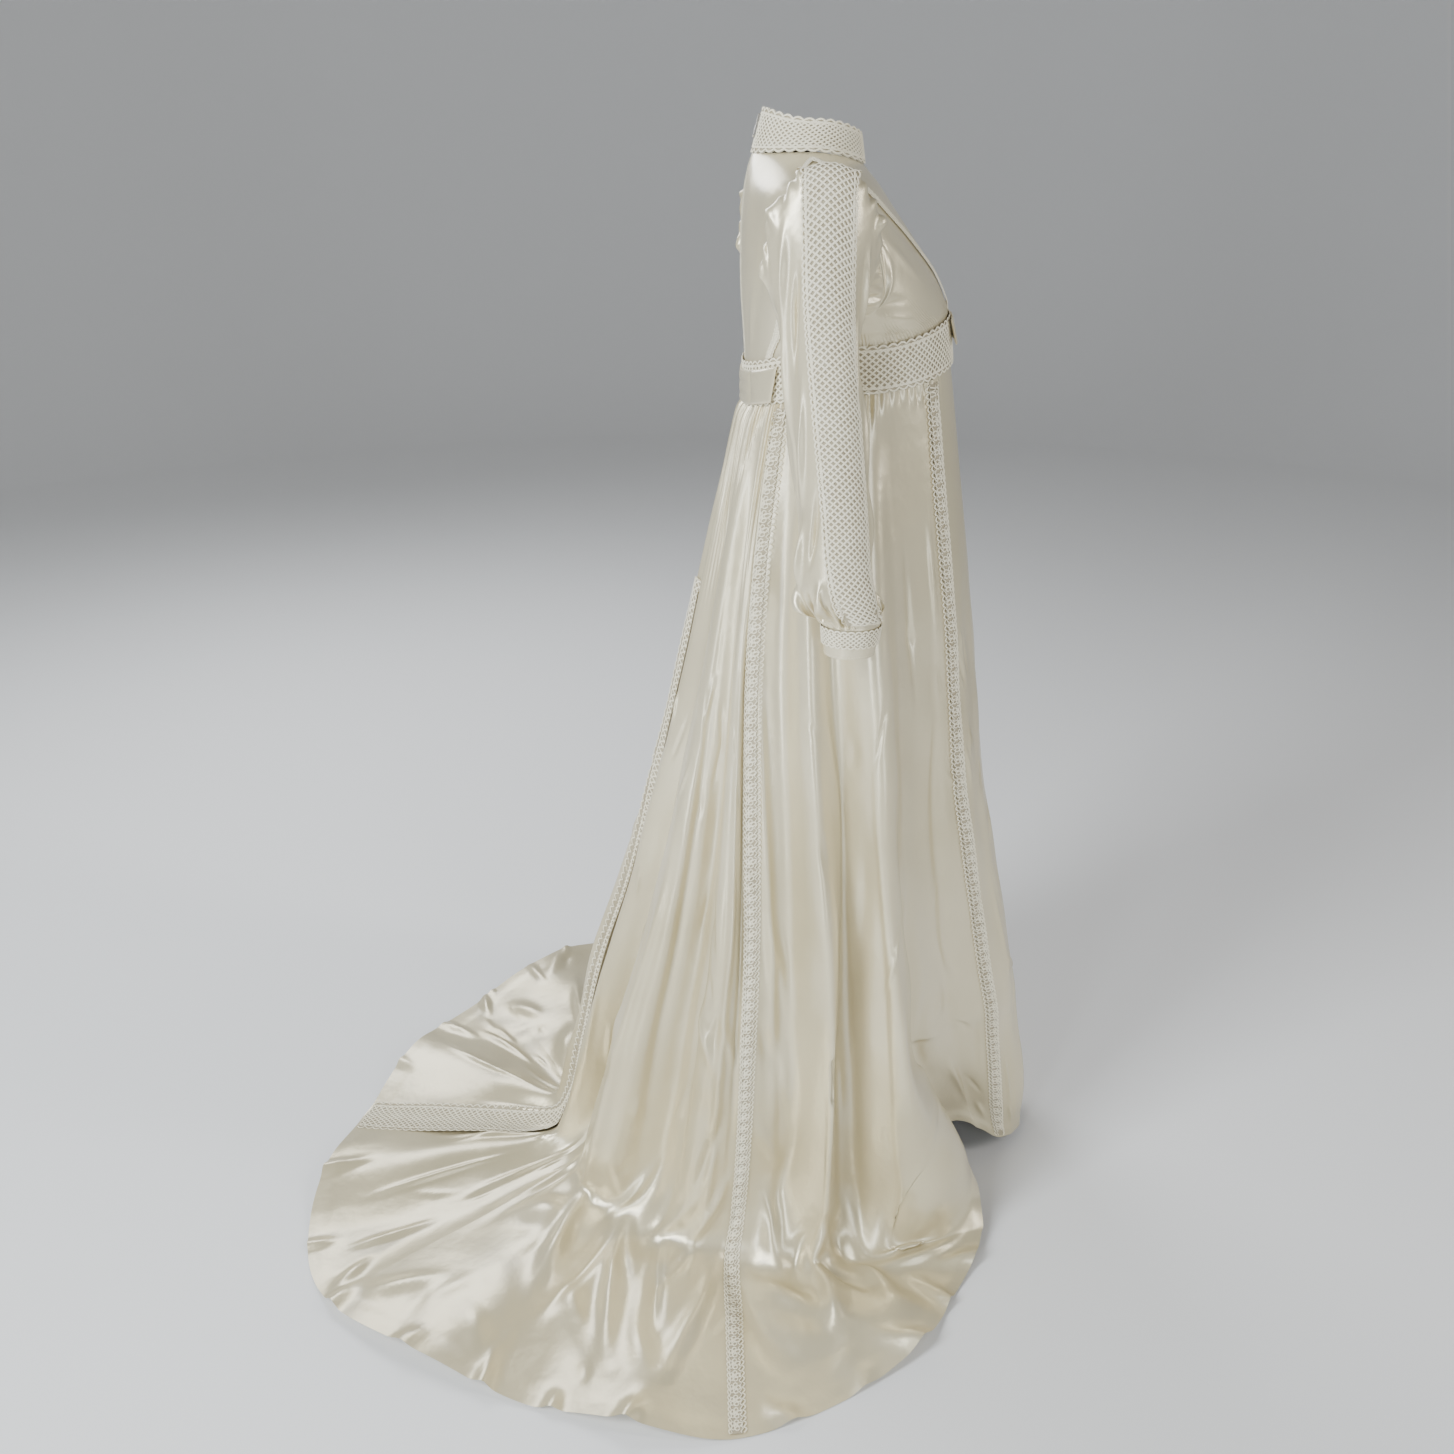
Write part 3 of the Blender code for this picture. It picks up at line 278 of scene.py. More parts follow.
def halfPanel(across, height):  # angle and place, spread between the panel's four edges
    below = across < neckShare
    topAngle = np.where(below, 90.0 * across / neckShare, 90.0)
    topPlace = np.where(below, neckPlace, mix(neckPlace, shoulderPoint, (across - neckShare) / (1.0 - neckShare)))
    holeAngle, holePlace = armhole((height - sideSeamShare) / (1.0 - sideSeamShare))
    low = height < sideSeamShare
    sideAngle = np.where(low, 90.0, holeAngle)
    sidePlace = np.where(low, mix(midriffTop, underarm, height / sideSeamShare), holePlace)
    angle = mix(90.0 * across, topAngle, height) + mix(0.0, sideAngle, across)
    angle = angle - mix(90.0 * across, 90.0 * across, height)
    place = mix(midriffTop, topPlace, height) + mix(mix(midriffTop, neckPlace, height), sidePlace, across)
    place = place - mix(midriffTop, mix(neckPlace, shoulderPoint, across), height)
    return angle, place


def bodiceField(back):
    across = np.linspace(-1.0, 1.0, 241)
    height = np.linspace(0.0, 1.0, 121)
    u, v = np.meshgrid(across, height)
    angle, place = halfPanel(np.abs(u), v)
    angle = np.copysign(angle, u)
    points = onBodice(180.0 - angle if back else angle, place)
    return fieldFrom(points, height, across, -1.0 if back else 1.0)


def beltField():
    angle = np.linspace(-190.0, 190.0, 381)
    share = np.linspace(0.0, 1.0, 9)
    low, high = onBodice(angle, 0.0), onBodice(angle, midriffTop)
    points = low[None] + (high - low)[None] * share[:, None, None]
    return fieldFrom(points, share, angle, 1.0)


def collarField():
    angle = np.linspace(-190.0, 190.0, 381)
    share = np.linspace(-0.06, 1.0, 9)
    low = alongRows(bodiceRings, np.array(neckPlace)).copy()
    low[[1, 4, 6]] += 0.0022
    rings = low[None] + (collarTop - low)[None] * share[:, None]
    points = onRing(rings[:, None, :], angle[None, :])
    return fieldFrom(points, share, angle, 1.0)


# soft creases on a surface: across, down, half length, half width, depth, slant, all in the surface's own units
def creased(field, creases, deeper=1.0):
    u, v = np.meshgrid(field["columns"], field["rows"])
    height = np.zeros_like(u)
    for across, down, halfLong, halfWide, deep, slant in creases:
        off = v - down
        side = (u - across - slant * off) / halfWide
        height += deep * bump(off / halfLong) * bump(side) * (0.6 + 0.4 * bump(1.6 * side))
    return pushed(field, deeper * height)


# ---------- the skirt ----------

# up, front, half, side, back, peak, and the angles of the three seams of each half
skirtRings = np.array((
    (1.090, -0.131, 0.134, 0.004, 0.132, 1.0, 45.0, 136.0, 160.0),
    (1.030, -0.140, 0.144, 0.006, 0.146, 1.0, 44.0, 135.0, 159.0),
    (0.920, -0.157, 0.160, 0.008, 0.168, 1.0, 42.0, 133.0, 158.0),
    (0.780, -0.177, 0.178, 0.012, 0.196, 1.1, 38.0, 128.0, 157.0),
    (0.620, -0.200, 0.198, 0.016, 0.232, 1.2, 35.0, 121.0, 156.0),
    (0.460, -0.232, 0.217, 0.022, 0.272, 1.3, 31.0, 115.0, 156.0),
    (0.300, -0.266, 0.236, 0.030, 0.320, 1.4, 28.0, 111.0, 157.0),
    (0.160, -0.292, 0.252, 0.038, 0.352, 1.4, 26.0, 109.0, 158.0),
    (0.060, -0.306, 0.268, 0.046, 0.378, 1.3, 25.0, 108.0, 159.0),
    (0.012, -0.310, 0.296, 0.052, 0.414, 1.2, 25.0, 107.0, 160.0),
))
kneeRow = 7
# seam number, right x and y, left x and y, height: the hem from the centre front to the centre back
hemLine = np.array((
    (0.00, 0.000, -0.314, 0.000, -0.314, 0.012),
    (0.50, -0.044, -0.300, 0.046, -0.300, 0.014),
    (1.00, -0.082, -0.264, 0.090, -0.264, 0.024),
    (1.18, -0.104, -0.226, 0.116, -0.226, 0.052),
    (1.34, -0.128, -0.170, 0.140, -0.170, 0.070),
    (1.50, -0.250, -0.192, 0.250, -0.180, 0.000),
    (1.62, -0.352, -0.134, 0.350, -0.118, 0.000),
    (1.78, -0.455, -0.044, 0.450, -0.030, 0.000),
    (2.00, -0.540, 0.168, 0.530, 0.180, 0.000),
    (2.40, -0.494, 0.376, 0.508, 0.340, 0.000),
    (2.70, -0.430, 0.520, 0.452, 0.432, 0.000),
    (3.00, -0.312, 0.690, 0.362, 0.536, 0.000),
    (3.40, -0.160, 0.745, 0.236, 0.632, 0.000),
    (4.00, 0.048, 0.712, 0.048, 0.712, 0.000),
))
# top, foot, wide_top, wide_foot, deep_top, deep_mid, deep_foot, lean, train
skirtFolds = (
    (-1.20, -1.19, 0.11, 0.12, -0.002, -0.017, -0.020, 0.0, 0.0),
    (-1.46, -1.48, 0.07, 0.08, 0.005, 0.026, 0.040, 0.45, 0.4),
    (-1.62, -1.62, 0.06, 0.06, -0.006, -0.014, -0.018, 0.0, 0.0),
    (-1.74, -1.75, 0.055, 0.06, 0.006, 0.021, 0.026, 0.3, 0.6),
    (-1.86, -1.88, 0.06, 0.06, -0.007, -0.016, -0.018, 0.0, 0.0),
    (-2.20, -2.24, 0.12, 0.13, 0.005, 0.015, 0.020, 0.2, 0.7),
    (-2.46, -2.46, 0.12, 0.12, -0.006, -0.018, -0.022, 0.0, 0.0),
    (-2.76, -2.78, 0.16, 0.18, 0.004, 0.022, 0.062, 0.3, 0.3),
    (-3.26, -3.22, 0.18, 0.20, -0.004, -0.022, -0.062, 0.0, 0.0),
    (-3.62, -3.62, 0.16, 0.18, 0.003, 0.014, 0.020, 0.0, 0.9),
    (4.00, 4.00, 0.20, 0.20, -0.003, -0.014, -0.010, 0.0, 0.0),
    (3.56, 3.54, 0.18, 0.20, 0.003, 0.018, 0.034, 0.0, 0.6),
    (3.14, 3.10, 0.17, 0.17, -0.004, -0.018, -0.036, 0.0, 0.0),
    (2.70, 2.74, 0.18, 0.20, 0.004, 0.020, 0.044, -0.3, 0.4),
    (2.34, 2.36, 0.14, 0.14, -0.005, -0.018, -0.020, 0.0, 0.0),
    (1.85, 1.88, 0.07, 0.07, -0.007, -0.015, -0.017, 0.0, 0.0),
    (1.70, 1.73, 0.06, 0.06, 0.005, 0.019, 0.024, -0.3, 0.6),
    (1.59, 1.61, 0.06, 0.06, -0.006, -0.013, -0.016, 0.0, 0.0),
    (1.46, 1.47, 0.07, 0.08, 0.005, 0.022, 0.036, -0.45, 0.5),
    (1.20, 1.19, 0.11, 0.12, -0.002, -0.015, -0.018, 0.0, 0.0),
    (-0.52, -0.56, 0.28, 0.28, 0.0, 0.006, 0.012, 0.0, 0.0),
    (0.46, 0.52, 0.28, 0.28, 0.0, 0.006, 0.010, 0.0, 0.0),
    (0.00, -0.04, 0.22, 0.22, 0.0, -0.004, -0.008, 0.0, 0.0),
)
skirtSize = {"columns": 1000, "rows": 300, "gatherDeep": 0.0042, "gatherFade": 0.20, "gatherCount": 130}
rightCreases = (
    # seam number, share down, half length, half width, depth, slant
    (-1.35, 0.74, 0.36, 0.075, -0.018, 0.15),
    (-1.465, 0.72, 0.38, 0.045, 0.011, 0.12),
    (-1.60, 0.68, 0.34, 0.050, -0.010, 0.05),
    (-1.745, 0.60, 0.36, 0.040, 0.005, 0.0),
    (-1.93, 0.48, 0.36, 0.030, 0.007, 0.1),
    (-2.06, 0.42, 0.40, 0.030, -0.009, 0.0),
    (-2.14, 0.55, 0.42, 0.045, 0.008, -0.05),
    (-2.34, 0.52, 0.42, 0.050, -0.009, 0.0),
    (-2.60, 0.50, 0.40, 0.060, -0.007, 0.1),
    (-2.78, 0.62, 0.30, 0.070, 0.010, 0.0),
    (-2.98, 0.66, 0.24, 0.060, -0.012, 0.1),
    (-2.84, 0.815, 0.030, 0.160, 0.012, 0.6),
    (-1.14, 0.55, 0.40, 0.060, -0.008, -0.1),
    (-2.70, 0.84, 0.09, 0.060, 0.014, 0.8),
    (-2.56, 0.86, 0.08, 0.055, -0.010, -0.5),
    (-2.42, 0.87, 0.10, 0.065, 0.015, 1.1),
    (-2.27, 0.86, 0.08, 0.050, -0.009, 0.7),
    (-2.12, 0.88, 0.10, 0.055, 0.012, -0.9),
    (-1.97, 0.87, 0.09, 0.045, -0.009, 0.6),
    (-1.78, 0.88, 0.08, 0.045, 0.011, -0.7),
    (-1.66, 0.87, 0.07, 0.040, -0.009, 0.9),
    (-1.90, 0.52, 0.07, 0.045, 0.006, 0.6),
    (-1.93, 0.60, 0.05, 0.040, -0.006, 0.9),
    (-1.88, 0.64, 0.06, 0.050, 0.007, 0.4),
    (-1.92, 0.71, 0.05, 0.040, 0.006, 1.1),
    (-1.86, 0.74, 0.06, 0.045, -0.007, -0.5),
    (-1.90, 0.80, 0.07, 0.050, 0.010, 0.7),
    (-1.82, 0.84, 0.05, 0.045, -0.009, -1.0),
    (-1.88, 0.88, 0.05, 0.055, 0.011, 1.4),
    (-1.80, 0.91, 0.05, 0.050, 0.010, -1.2),
    (-1.93, 0.93, 0.04, 0.040, -0.007, 0.6),
    (-1.74, 0.89, 0.06, 0.055, -0.010, 0.8),
    (-1.66, 0.92, 0.05, 0.060, 0.012, -0.9),
    (-1.57, 0.94, 0.05, 0.050, 0.010, 1.6),
    (-1.70, 0.96, 0.04, 0.060, 0.008, 0.5),
    (-1.84, 0.97, 0.03, 0.060, 0.007, -0.6),
    (-1.50, 0.90, 0.05, 0.040, -0.008, 0.3),
    (-1.62, 0.70, 0.10, 0.035, 0.006, 0.2),
    (-1.56, 0.50, 0.12, 0.040, -0.005, -0.2),
    (-1.66, 0.36, 0.12, 0.045, 0.005, 0.15),
    (-1.38, 0.62, 0.12, 0.050, 0.005, -0.35),
    (-1.30, 0.78, 0.10, 0.045, -0.005, -0.4),
    (-1.16, 0.70, 0.08, 0.040, 0.004, 0.5),
    (-1.22, 0.90, 0.07, 0.050, 0.005, 0.4),
    (-1.08, 0.82, 0.06, 0.030, -0.004, -0.3),
    (-1.14, 0.40, 0.10, 0.040, 0.004, -0.3),
    (-1.24, 0.25, 0.12, 0.035, -0.004, 0.2),
    (-1.10, 0.20, 0.10, 0.030, 0.003, 0.1),
    (-2.07, 0.30, 0.14, 0.030, -0.006, 0.1),
    (-2.14, 0.48, 0.12, 0.035, 0.005, -0.2),
    (-2.10, 0.58, 0.05, 0.045, 0.006, 1.6),
    (-2.30, 0.45, 0.06, 0.040, -0.005, 1.2),
    (-2.26, 0.57, 0.05, 0.070, 0.006, 2.4),
    (-2.38, 0.66, 0.06, 0.050, 0.005, -1.4),
    (-2.16, 0.69, 0.06, 0.050, -0.007, -1.2),
    (-2.12, 0.76, 0.05, 0.045, 0.008, -1.8),
    (-2.28, 0.78, 0.05, 0.060, 0.008, -2.2),
    (-2.20, 0.83, 0.04, 0.060, -0.008, -2.0),
    (-2.42, 0.82, 0.05, 0.060, 0.006, 1.8),
    (-2.55, 0.76, 0.05, 0.050, 0.006, -1.5),
    (-2.66, 0.86, 0.05, 0.060, 0.006, 1.4),
    (-2.50, 0.90, 0.05, 0.110, 0.008, 2.6),
    (-2.25, 0.93, 0.05, 0.080, 0.006, 1.2),
    (-2.70, 0.96, 0.03, 0.090, 0.006, 2.0),
    (-2.92, 0.95, 0.04, 0.060, 0.007, -1.6),
    (-3.06, 0.97, 0.03, 0.050, 0.009, 1.8),
    (-3.18, 0.93, 0.06, 0.045, 0.007, -0.6),
    (-3.45, 0.88, 0.09, 0.040, 0.006, 0.5),
    (-3.75, 0.84, 0.08, 0.050, 0.005, -0.4),
    (-3.30, 0.78, 0.08, 0.060, 0.006, 0.7),
    (-3.55, 0.60, 0.10, 0.060, 0.004, 0.3),
    (-3.80, 0.45, 0.10, 0.060, -0.004, -0.2),
    (-2.86, 0.50, 0.12, 0.060, -0.004, 0.2),
    (-2.95, 0.30, 0.12, 0.050, 0.003, -0.1),
    (-0.70, 0.66, 0.09, 0.060, 0.003, 0.3),
    (-0.42, 0.80, 0.08, 0.060, -0.003, -0.4),
    (-0.84, 0.90, 0.06, 0.050, 0.003, 0.4),
    (-3.60, 1.00, 0.05, 0.050, 0.010, 0.6),
    (-3.28, 1.00, 0.04, 0.040, 0.009, -0.8),
    (-2.98, 1.00, 0.04, 0.035, 0.011, 0.7),
    (-2.80, 1.00, 0.03, 0.030, 0.008, -0.5),
    (-2.60, 1.00, 0.05, 0.040, 0.010, 0.9),
    (-2.42, 1.00, 0.03, 0.035, 0.008, 0.4),
    (-2.24, 1.00, 0.04, 0.045, 0.011, -0.8),
    (-1.93, 1.00, 0.04, 0.030, 0.010, 0.8),
    (-1.84, 1.00, 0.03, 0.030, 0.008, -0.7),
    (-1.74, 1.00, 0.05, 0.035, 0.014, 0.9),
    (-1.64, 1.00, 0.06, 0.030, 0.016, -0.6),
    (-1.55, 1.00, 0.05, 0.025, 0.012, 0.5),
)
leftShift = {"number": 0.03, "share": -0.02, "depth": 0.9}  # the hidden side has similar creases, a little moved
skirtCreases = rightCreases + tuple(
    (leftShift["number"] - across, down + leftShift["share"] * (-1) ** turn, halfLong, halfWide,
     deep * leftShift["depth"], -slant)
    for turn, (across, down, halfLong, halfWide, deep, slant) in enumerate(rightCreases))
rumples = {"seed": 11, "count": 190, "share": (0.22, 0.99), "long": (0.012, 0.036), "wide": (0.024, 0.046),
           "deep": (0.0014, 0.0036), "slant": 2.4}
dice = np.random.default_rng(rumples["seed"])
smallCreases = tuple(
    (dice.uniform(-3.85, 3.85), mix(*rumples["share"], dice.uniform() ** 0.7), dice.uniform(*rumples["long"]),
     dice.uniform(*rumples["wide"]), dice.choice((-1.0, 1.0)) * dice.uniform(*rumples["deep"]),
     dice.uniform(-rumples["slant"], rumples["slant"])) for _ in range(rumples["count"]))


def skirtRoute(number):  # the points that each lengthwise thread runs through, before its folds
    side = np.sign(number) + (number == 0.0)
    seam = np.abs(number)
    side = np.where(seam > 4.0, -side, side)
    seam = np.where(seam > 4.0, 8.0 - seam, seam)
    stops = np.arange(5.0)
    angles = [np.interp(seam, stops, (0.0, *row[6:9], 180.0)) for row in skirtRings]
    route = [onRing(bodiceRings[0][None], side * angles[0]) + neckBase]
    for row, angle in zip(skirtRings, angles):
        up, front, half, flank, back, peak = row[:6]
        ahead = np.cos(np.radians(angle))
        y = np.where(ahead > 0.0, mix(flank, front, np.abs(ahead) ** peak), mix(flank, back, -ahead))
        route.append(np.stack((side * half * np.sin(np.radians(angle)), y, np.full_like(y, up)), -1))
    hem = alongRows(hemLine, np.interp(seam, hemLine[:, 0], np.arange(len(hemLine))))
    x = np.where(side > 0.0, hem[:, 3], hem[:, 1])
    y = np.where(side > 0.0, hem[:, 4], hem[:, 2])
    end = np.stack((x, y, np.maximum(hem[:, 5], 0.0)), -1)
    contact = route[-1]
    for share, level in ((0.35, 0.006), (0.70, 0.003)):
        laid = mix(contact, end, share)
        laid[:, 2] = level
        route.append(laid)
    route.append(end)
    rests = smooth(1.38, 1.52, seam)[:, None]
    steps = len(route) - 1 - kneeRow
    for row in range(kneeRow + 1, len(route)):
        route[row] = mix(mix(route[kneeRow], end, (row - kneeRow) / steps), route[row], rests)
    return np.array(route)


def skirtFoldSum(number, share, flat):
    deepSum, leanSum = np.zeros_like(share), np.zeros_like(share)
    for top, foot, wideTop, wideFoot, deepTop, deepMid, deepFoot, lean, train in skirtFolds:
        centre = mix(top, foot, share)
        away = number - centre
        away = np.where(away > 4.0, away - 8.0, np.where(away < -4.0, away + 8.0, away))
        shape = bump(away / (2.0 * mix(wideTop, wideFoot, share)))
        deep = alongRows((deepTop, deepMid, deepFoot), 2.0 * share) * 1.12
        deep = deep * (smooth(0.0, 0.12, share) * 0.75 + 0.25)
        deep = mix(deep, np.maximum(deep, 0.0) * train, flat)
        deepSum += deep * shape
        leanSum += lean * np.abs(deep) * shape * (1.0 - flat)
    return deepSum, leanSum


def skirtField():
    numbers = np.linspace(-4.3, 4.3, skirtSize["columns"] + 1)
    shares = np.linspace(0.0, 1.0, skirtSize["rows"] + 1)
    route = skirtRoute(numbers)
    fine = alongRows(route, np.linspace(0.0, len(route) - 1, 12 * len(route)))
    run = np.concatenate((np.zeros((1, len(numbers))), np.linalg.norm(np.diff(fine, axis=0), axis=-1).cumsum(0)))
    base = np.empty((len(shares), len(numbers), 3))
    for column in range(len(numbers)):
        for axis in range(3):
            base[:, column, axis] = np.interp(shares * run[-1, column], run[:, column], fine[:, column, axis])
    number, share = np.meshgrid(numbers, shares)
    flat = 1.0 - smooth(0.0, 0.10, base[..., 2])
    field = fieldFrom(base - neckBase, shares, numbers, -1.0)
    deep, lean = skirtFoldSum(number, share, flat)
    moved = field["points"] + field["outs"] * deep[..., None] + field["ahead"] * lean[..., None]
    field = fieldFrom(moved, shares, numbers, -1.0)
    # gathers under the belt, each with its own length and depth
    turn = number * skirtSize["gatherCount"] / 8.0 + 0.35 * np.sin(5.0 * number) + 0.25 * np.sin(13.0 * number + 1.0)
    reach = skirtSize["gatherFade"] * (0.55 + 0.45 * np.sin(7.3 * number + 2.0 * np.sin(3.1 * number)))
    wave = np.cos(2.0 * np.pi * turn) * (1.0 - smooth(0.0, 1.0, share / np.maximum(reach, 0.02)))
    sides = smooth(0.75, 1.15, np.abs(number))
    field = pushed(field, skirtSize["gatherDeep"] * wave * sides * (0.65 + 0.35 * np.sin(11.0 * number)))
    edge = smooth(0.982, 0.986, share) * 0.0012
    sway = 0.0022 * np.sin(6.1 * number + 9.0 * share) * np.sin(13.0 * share + 2.3 * number)
    sway += 0.0012 * np.sin(17.0 * number - 21.0 * share) * np.sin(29.0 * share + 5.0 * number)
    field = creased(pushed(field, edge + sway * smooth(0.1, 0.35, share)), skirtCreases + smallCreases)
    low = field["points"][..., 2]
    field["points"][..., 2] = np.maximum(low, floorLevel + 0.0008)
    return field


# ---------- the sleeves ----------

# out_x, out_up, in_x, in_up, y, half_y, from outside the armhole to the cuff
sleeveRings = np.array((
    (0.192, 1.374, 0.153, 1.214, 0.056, 0.060),
    (0.213, 1.356, 0.152, 1.206, 0.060, 0.057),
    (0.225, 1.306, 0.153, 1.188, 0.061, 0.046),
    (0.229, 1.236, 0.155, 1.158, 0.059, 0.040),
    (0.234, 1.132, 0.161, 1.092, 0.050, 0.0385),
    (0.240, 1.042, 0.169, 1.012, 0.042, 0.0385),
    (0.247, 0.978, 0.177, 0.958, 0.039, 0.0405),
    (0.252, 0.940, 0.182, 0.927, 0.034, 0.0420),
    (0.250, 0.915, 0.190, 0.908, 0.023, 0.0350),
    (0.2500, 0.9043, 0.1900, 0.9008, 0.0190, 0.0325),
))
cuffRings = np.array((
    (0.2500, 0.9035, 0.1900, 0.9000, 0.0190, 0.0325),
    (0.2490, 0.8700, 0.1930, 0.8660, 0.0200, 0.0285),
))
sleeveSize = {"columns": 240, "rows": 260}
sleeveCreases = (
    # turn, place, half length, half width, depth, slant
    (-70.0, 1.2, 1.0, 9.0, 0.0040, 4.0),
    (-48.0, 1.0, 0.9, 7.0, -0.0030, -3.0),
    (-30.0, 0.9, 0.7, 7.0, 0.0030, 2.0),
    (28.0, 0.9, 0.9, 7.0, 0.0035, -3.0),
    (44.0, 1.1, 1.0, 8.0, -0.0030, 3.0),
    (62.0, 1.3, 1.2, 9.0, 0.0045, -4.0),
    (84.0, 1.6, 1.2, 10.0, -0.0040, 3.0),
    (104.0, 1.5, 1.1, 9.0, 0.0040, -3.0),
    (60.0, 3.1, 1.0, 13.0, 0.0050, 14.0),
    (48.0, 3.9, 0.8, 10.0, -0.0045, 16.0),
    (76.0, 4.4, 1.1, 13.0, 0.0050, 12.0),
    (98.0, 3.6, 1.0, 14.0, -0.0045, -14.0),
    (55.0, 5.3, 0.9, 11.0, 0.0045, 15.0),
    (88.0, 5.7, 1.0, 13.0, -0.0050, 12.0),
    (118.0, 5.0, 1.1, 14.0, 0.0050, -12.0),
    (40.0, 6.4, 0.8, 10.0, -0.0040, 14.0),
    (72.0, 6.9, 1.0, 12.0, 0.0060, 12.0),
    (104.0, 7.3, 0.9, 12.0, -0.0055, -10.0),
    (-78.0, 3.2, 1.0, 12.0, 0.0045, -13.0),
    (-62.0, 4.2, 0.8, 10.0, -0.0040, 14.0),
    (-86.0, 5.0, 1.0, 12.0, 0.0045, 12.0),
    (-74.0, 6.2, 0.9, 10.0, 0.0040, -13.0),
    (-96.0, 7.2, 0.9, 11.0, -0.0045, 10.0),
    (38.0, 8.2, 1.0, 13.0, 0.0070, 9.0),
    (62.0, 8.5, 0.9, 9.0, -0.0080, 6.0),
    (84.0, 8.3, 1.1, 11.0, 0.0090, -8.0),
    (108.0, 8.6, 0.9, 9.0, -0.0075, 5.0),
    (130.0, 8.4, 1.0, 12.0, 0.0070, -6.0),
    (156.0, 8.6, 0.8, 10.0, -0.0060, 6.0),
    (-96.0, 8.5, 0.9, 11.0, 0.0060, 6.0),
    (-118.0, 8.6, 0.8, 10.0, -0.0060, -5.0),
    (-142.0, 8.4, 0.9, 11.0, 0.0060, 5.0),
    (16.0, 9.1, 0.5, 8.0, -0.0035, 3.0),
)


def tubeRows(rings, turn, side):
    out = 0.5 + 0.5 * np.cos(np.radians(turn))
    x = side * mix(rings[:, None, 2], rings[:, None, 0], out)
    y = rings[:, None, 4] + rings[:, None, 5] * np.sin(np.radians(turn))
    up = mix(rings[:, None, 3], rings[:, None, 1], out)
    return np.stack((x, y, up), -1) - neckBase


def sleeveField(side):
    turn = np.linspace(-180.0, 180.0, sleeveSize["columns"] + 1)
    around = np.radians(turn)
    angle, level = armhole(np.arccos(np.clip(-np.cos(around), -1.0, 1.0)) / np.pi)
    angle = np.where(np.sin(around) >= 0.0, 180.0 - angle, angle)
    start = onBodice(angle, level)
    ahead = onBodice(angle + 1.0, level) - onBodice(angle - 1.0, level)
    above = onBodice(angle, level + 0.05) - onBodice(angle, level - 0.05)
    start = start + unit(np.cross(ahead, above)) * 0.0024
    start[:, 0] *= side
    rows = np.concatenate((start[None], tubeRows(sleeveRings, turn, side)))
    place = np.linspace(0.0, 10.0, sleeveSize["rows"] + 1)
    field = fieldFrom(alongRows(rows, place), place, turn, -side)
    # gathers into the armhole and into the cuff, uneven and gone under the lace band
    u, v = np.meshgrid(turn, place)
    offBand = smooth(20.0, 34.0, np.abs(u + 32.0 * (v / 10.0) ** 1.3))
    wave = np.cos(np.radians(u) * 26.0 + 1.4 * np.sin(3.0 * np.radians(u))) * (0.7 + 0.3 * np.sin(5.0 * np.radians(u)))
    top = smooth(0.0, 0.5, v) * (1.0 - smooth(0.6, 2.2, v))
    wrist = smooth(7.4, 9.0, v) * (1.0 - smooth(9.3, 9.95, v))
    return creased(pushed(field, 0.0024 * wave * (top + wrist) * offBand), sleeveCreases, 1.5)


def cuffField(side):
    turn = np.linspace(-180.0, 180.0, 121)
    share = np.linspace(0.0, 1.0, 13)
    rings = cuffRings[0] + (cuffRings[1] - cuffRings[0]) * share[:, None]
    return fieldFrom(tubeRows(rings, turn, side), share, turn, -side)


# ---------- creases and the finished surfaces ----------

bust = {"deep": 0.0016, "fade": 0.34, "count": 46}
frontField = bodiceField(False)
backField = bodiceField(True)
across, height = np.meshgrid(frontField["columns"], frontField["rows"])
gathers = np.cos(2.0 * np.pi * (bust["count"] * np.abs(across) + 0.3 * np.sin(17.0 * across)))
reach = bust["fade"] * (0.6 + 0.4 * np.sin(23.0 * across))
seamHere = np.interp(height, seamHeights, frontSeam)
gathers = gathers * (1.0 - smooth(0.0, 1.0, height / reach)) * smooth(0.0, 0.06, np.abs(across) - seamHere)
frontField = pushed(frontField, bust["deep"] * gathers)
frontCreases = (
    # share across, height, half length, half width, depth, slant
    (0.74, 0.54, 0.13, 0.170, 0.0020, -2.4),
    (0.70, 0.46, 0.11, 0.170, -0.0014, -2.8),
    (0.72, 0.38, 0.10, 0.190, 0.0018, -3.4),
    (0.68, 0.29, 0.09, 0.190, -0.0012, 2.8),
    (0.72, 0.20, 0.10, 0.180, 0.0016, 2.2),
    (0.62, 0.66, 0.12, 0.090, 0.0022, -1.4),
    (0.50, 0.58, 0.16, 0.070, -0.0016, 0.6),
    (0.84, 0.66, 0.09, 0.100, 0.0020, -1.8),
    (0.38, 0.40, 0.18, 0.060, 0.0018, 0.3),
)
backCreases = (
    (0.20, 0.18, 0.18, 0.050, 0.0020, 0.1),
    (0.28, 0.40, 0.26, 0.050, -0.0018, 0.15),
    (0.56, 0.22, 0.20, 0.060, 0.0026, 0.3),
    (0.68, 0.46, 0.26, 0.065, 0.0030, -0.4),
    (0.82, 0.34, 0.20, 0.060, -0.0028, 0.5),
    (0.60, 0.68, 0.20, 0.060, 0.0024, 0.4),
    (0.86, 0.64, 0.16, 0.050, 0.0026, 0.4),
)
bothHands = lambda creases: creases + tuple((0.03 - row[0], row[1] + 0.02, *row[2:5], -row[5]) for row in creases)
frontField = creased(frontField, bothHands(frontCreases))
backField = creased(backField, bothHands(backCreases))
skirt = skirtField()
belt = beltField()
collar = collarField()
sleeves = {"right": sleeveField(-1.0), "left": sleeveField(1.0)}
cuffs = {"right": cuffField(-1.0), "left": cuffField(1.0)}
print("surfaces worked out")


# ---------- satin pieces ----------

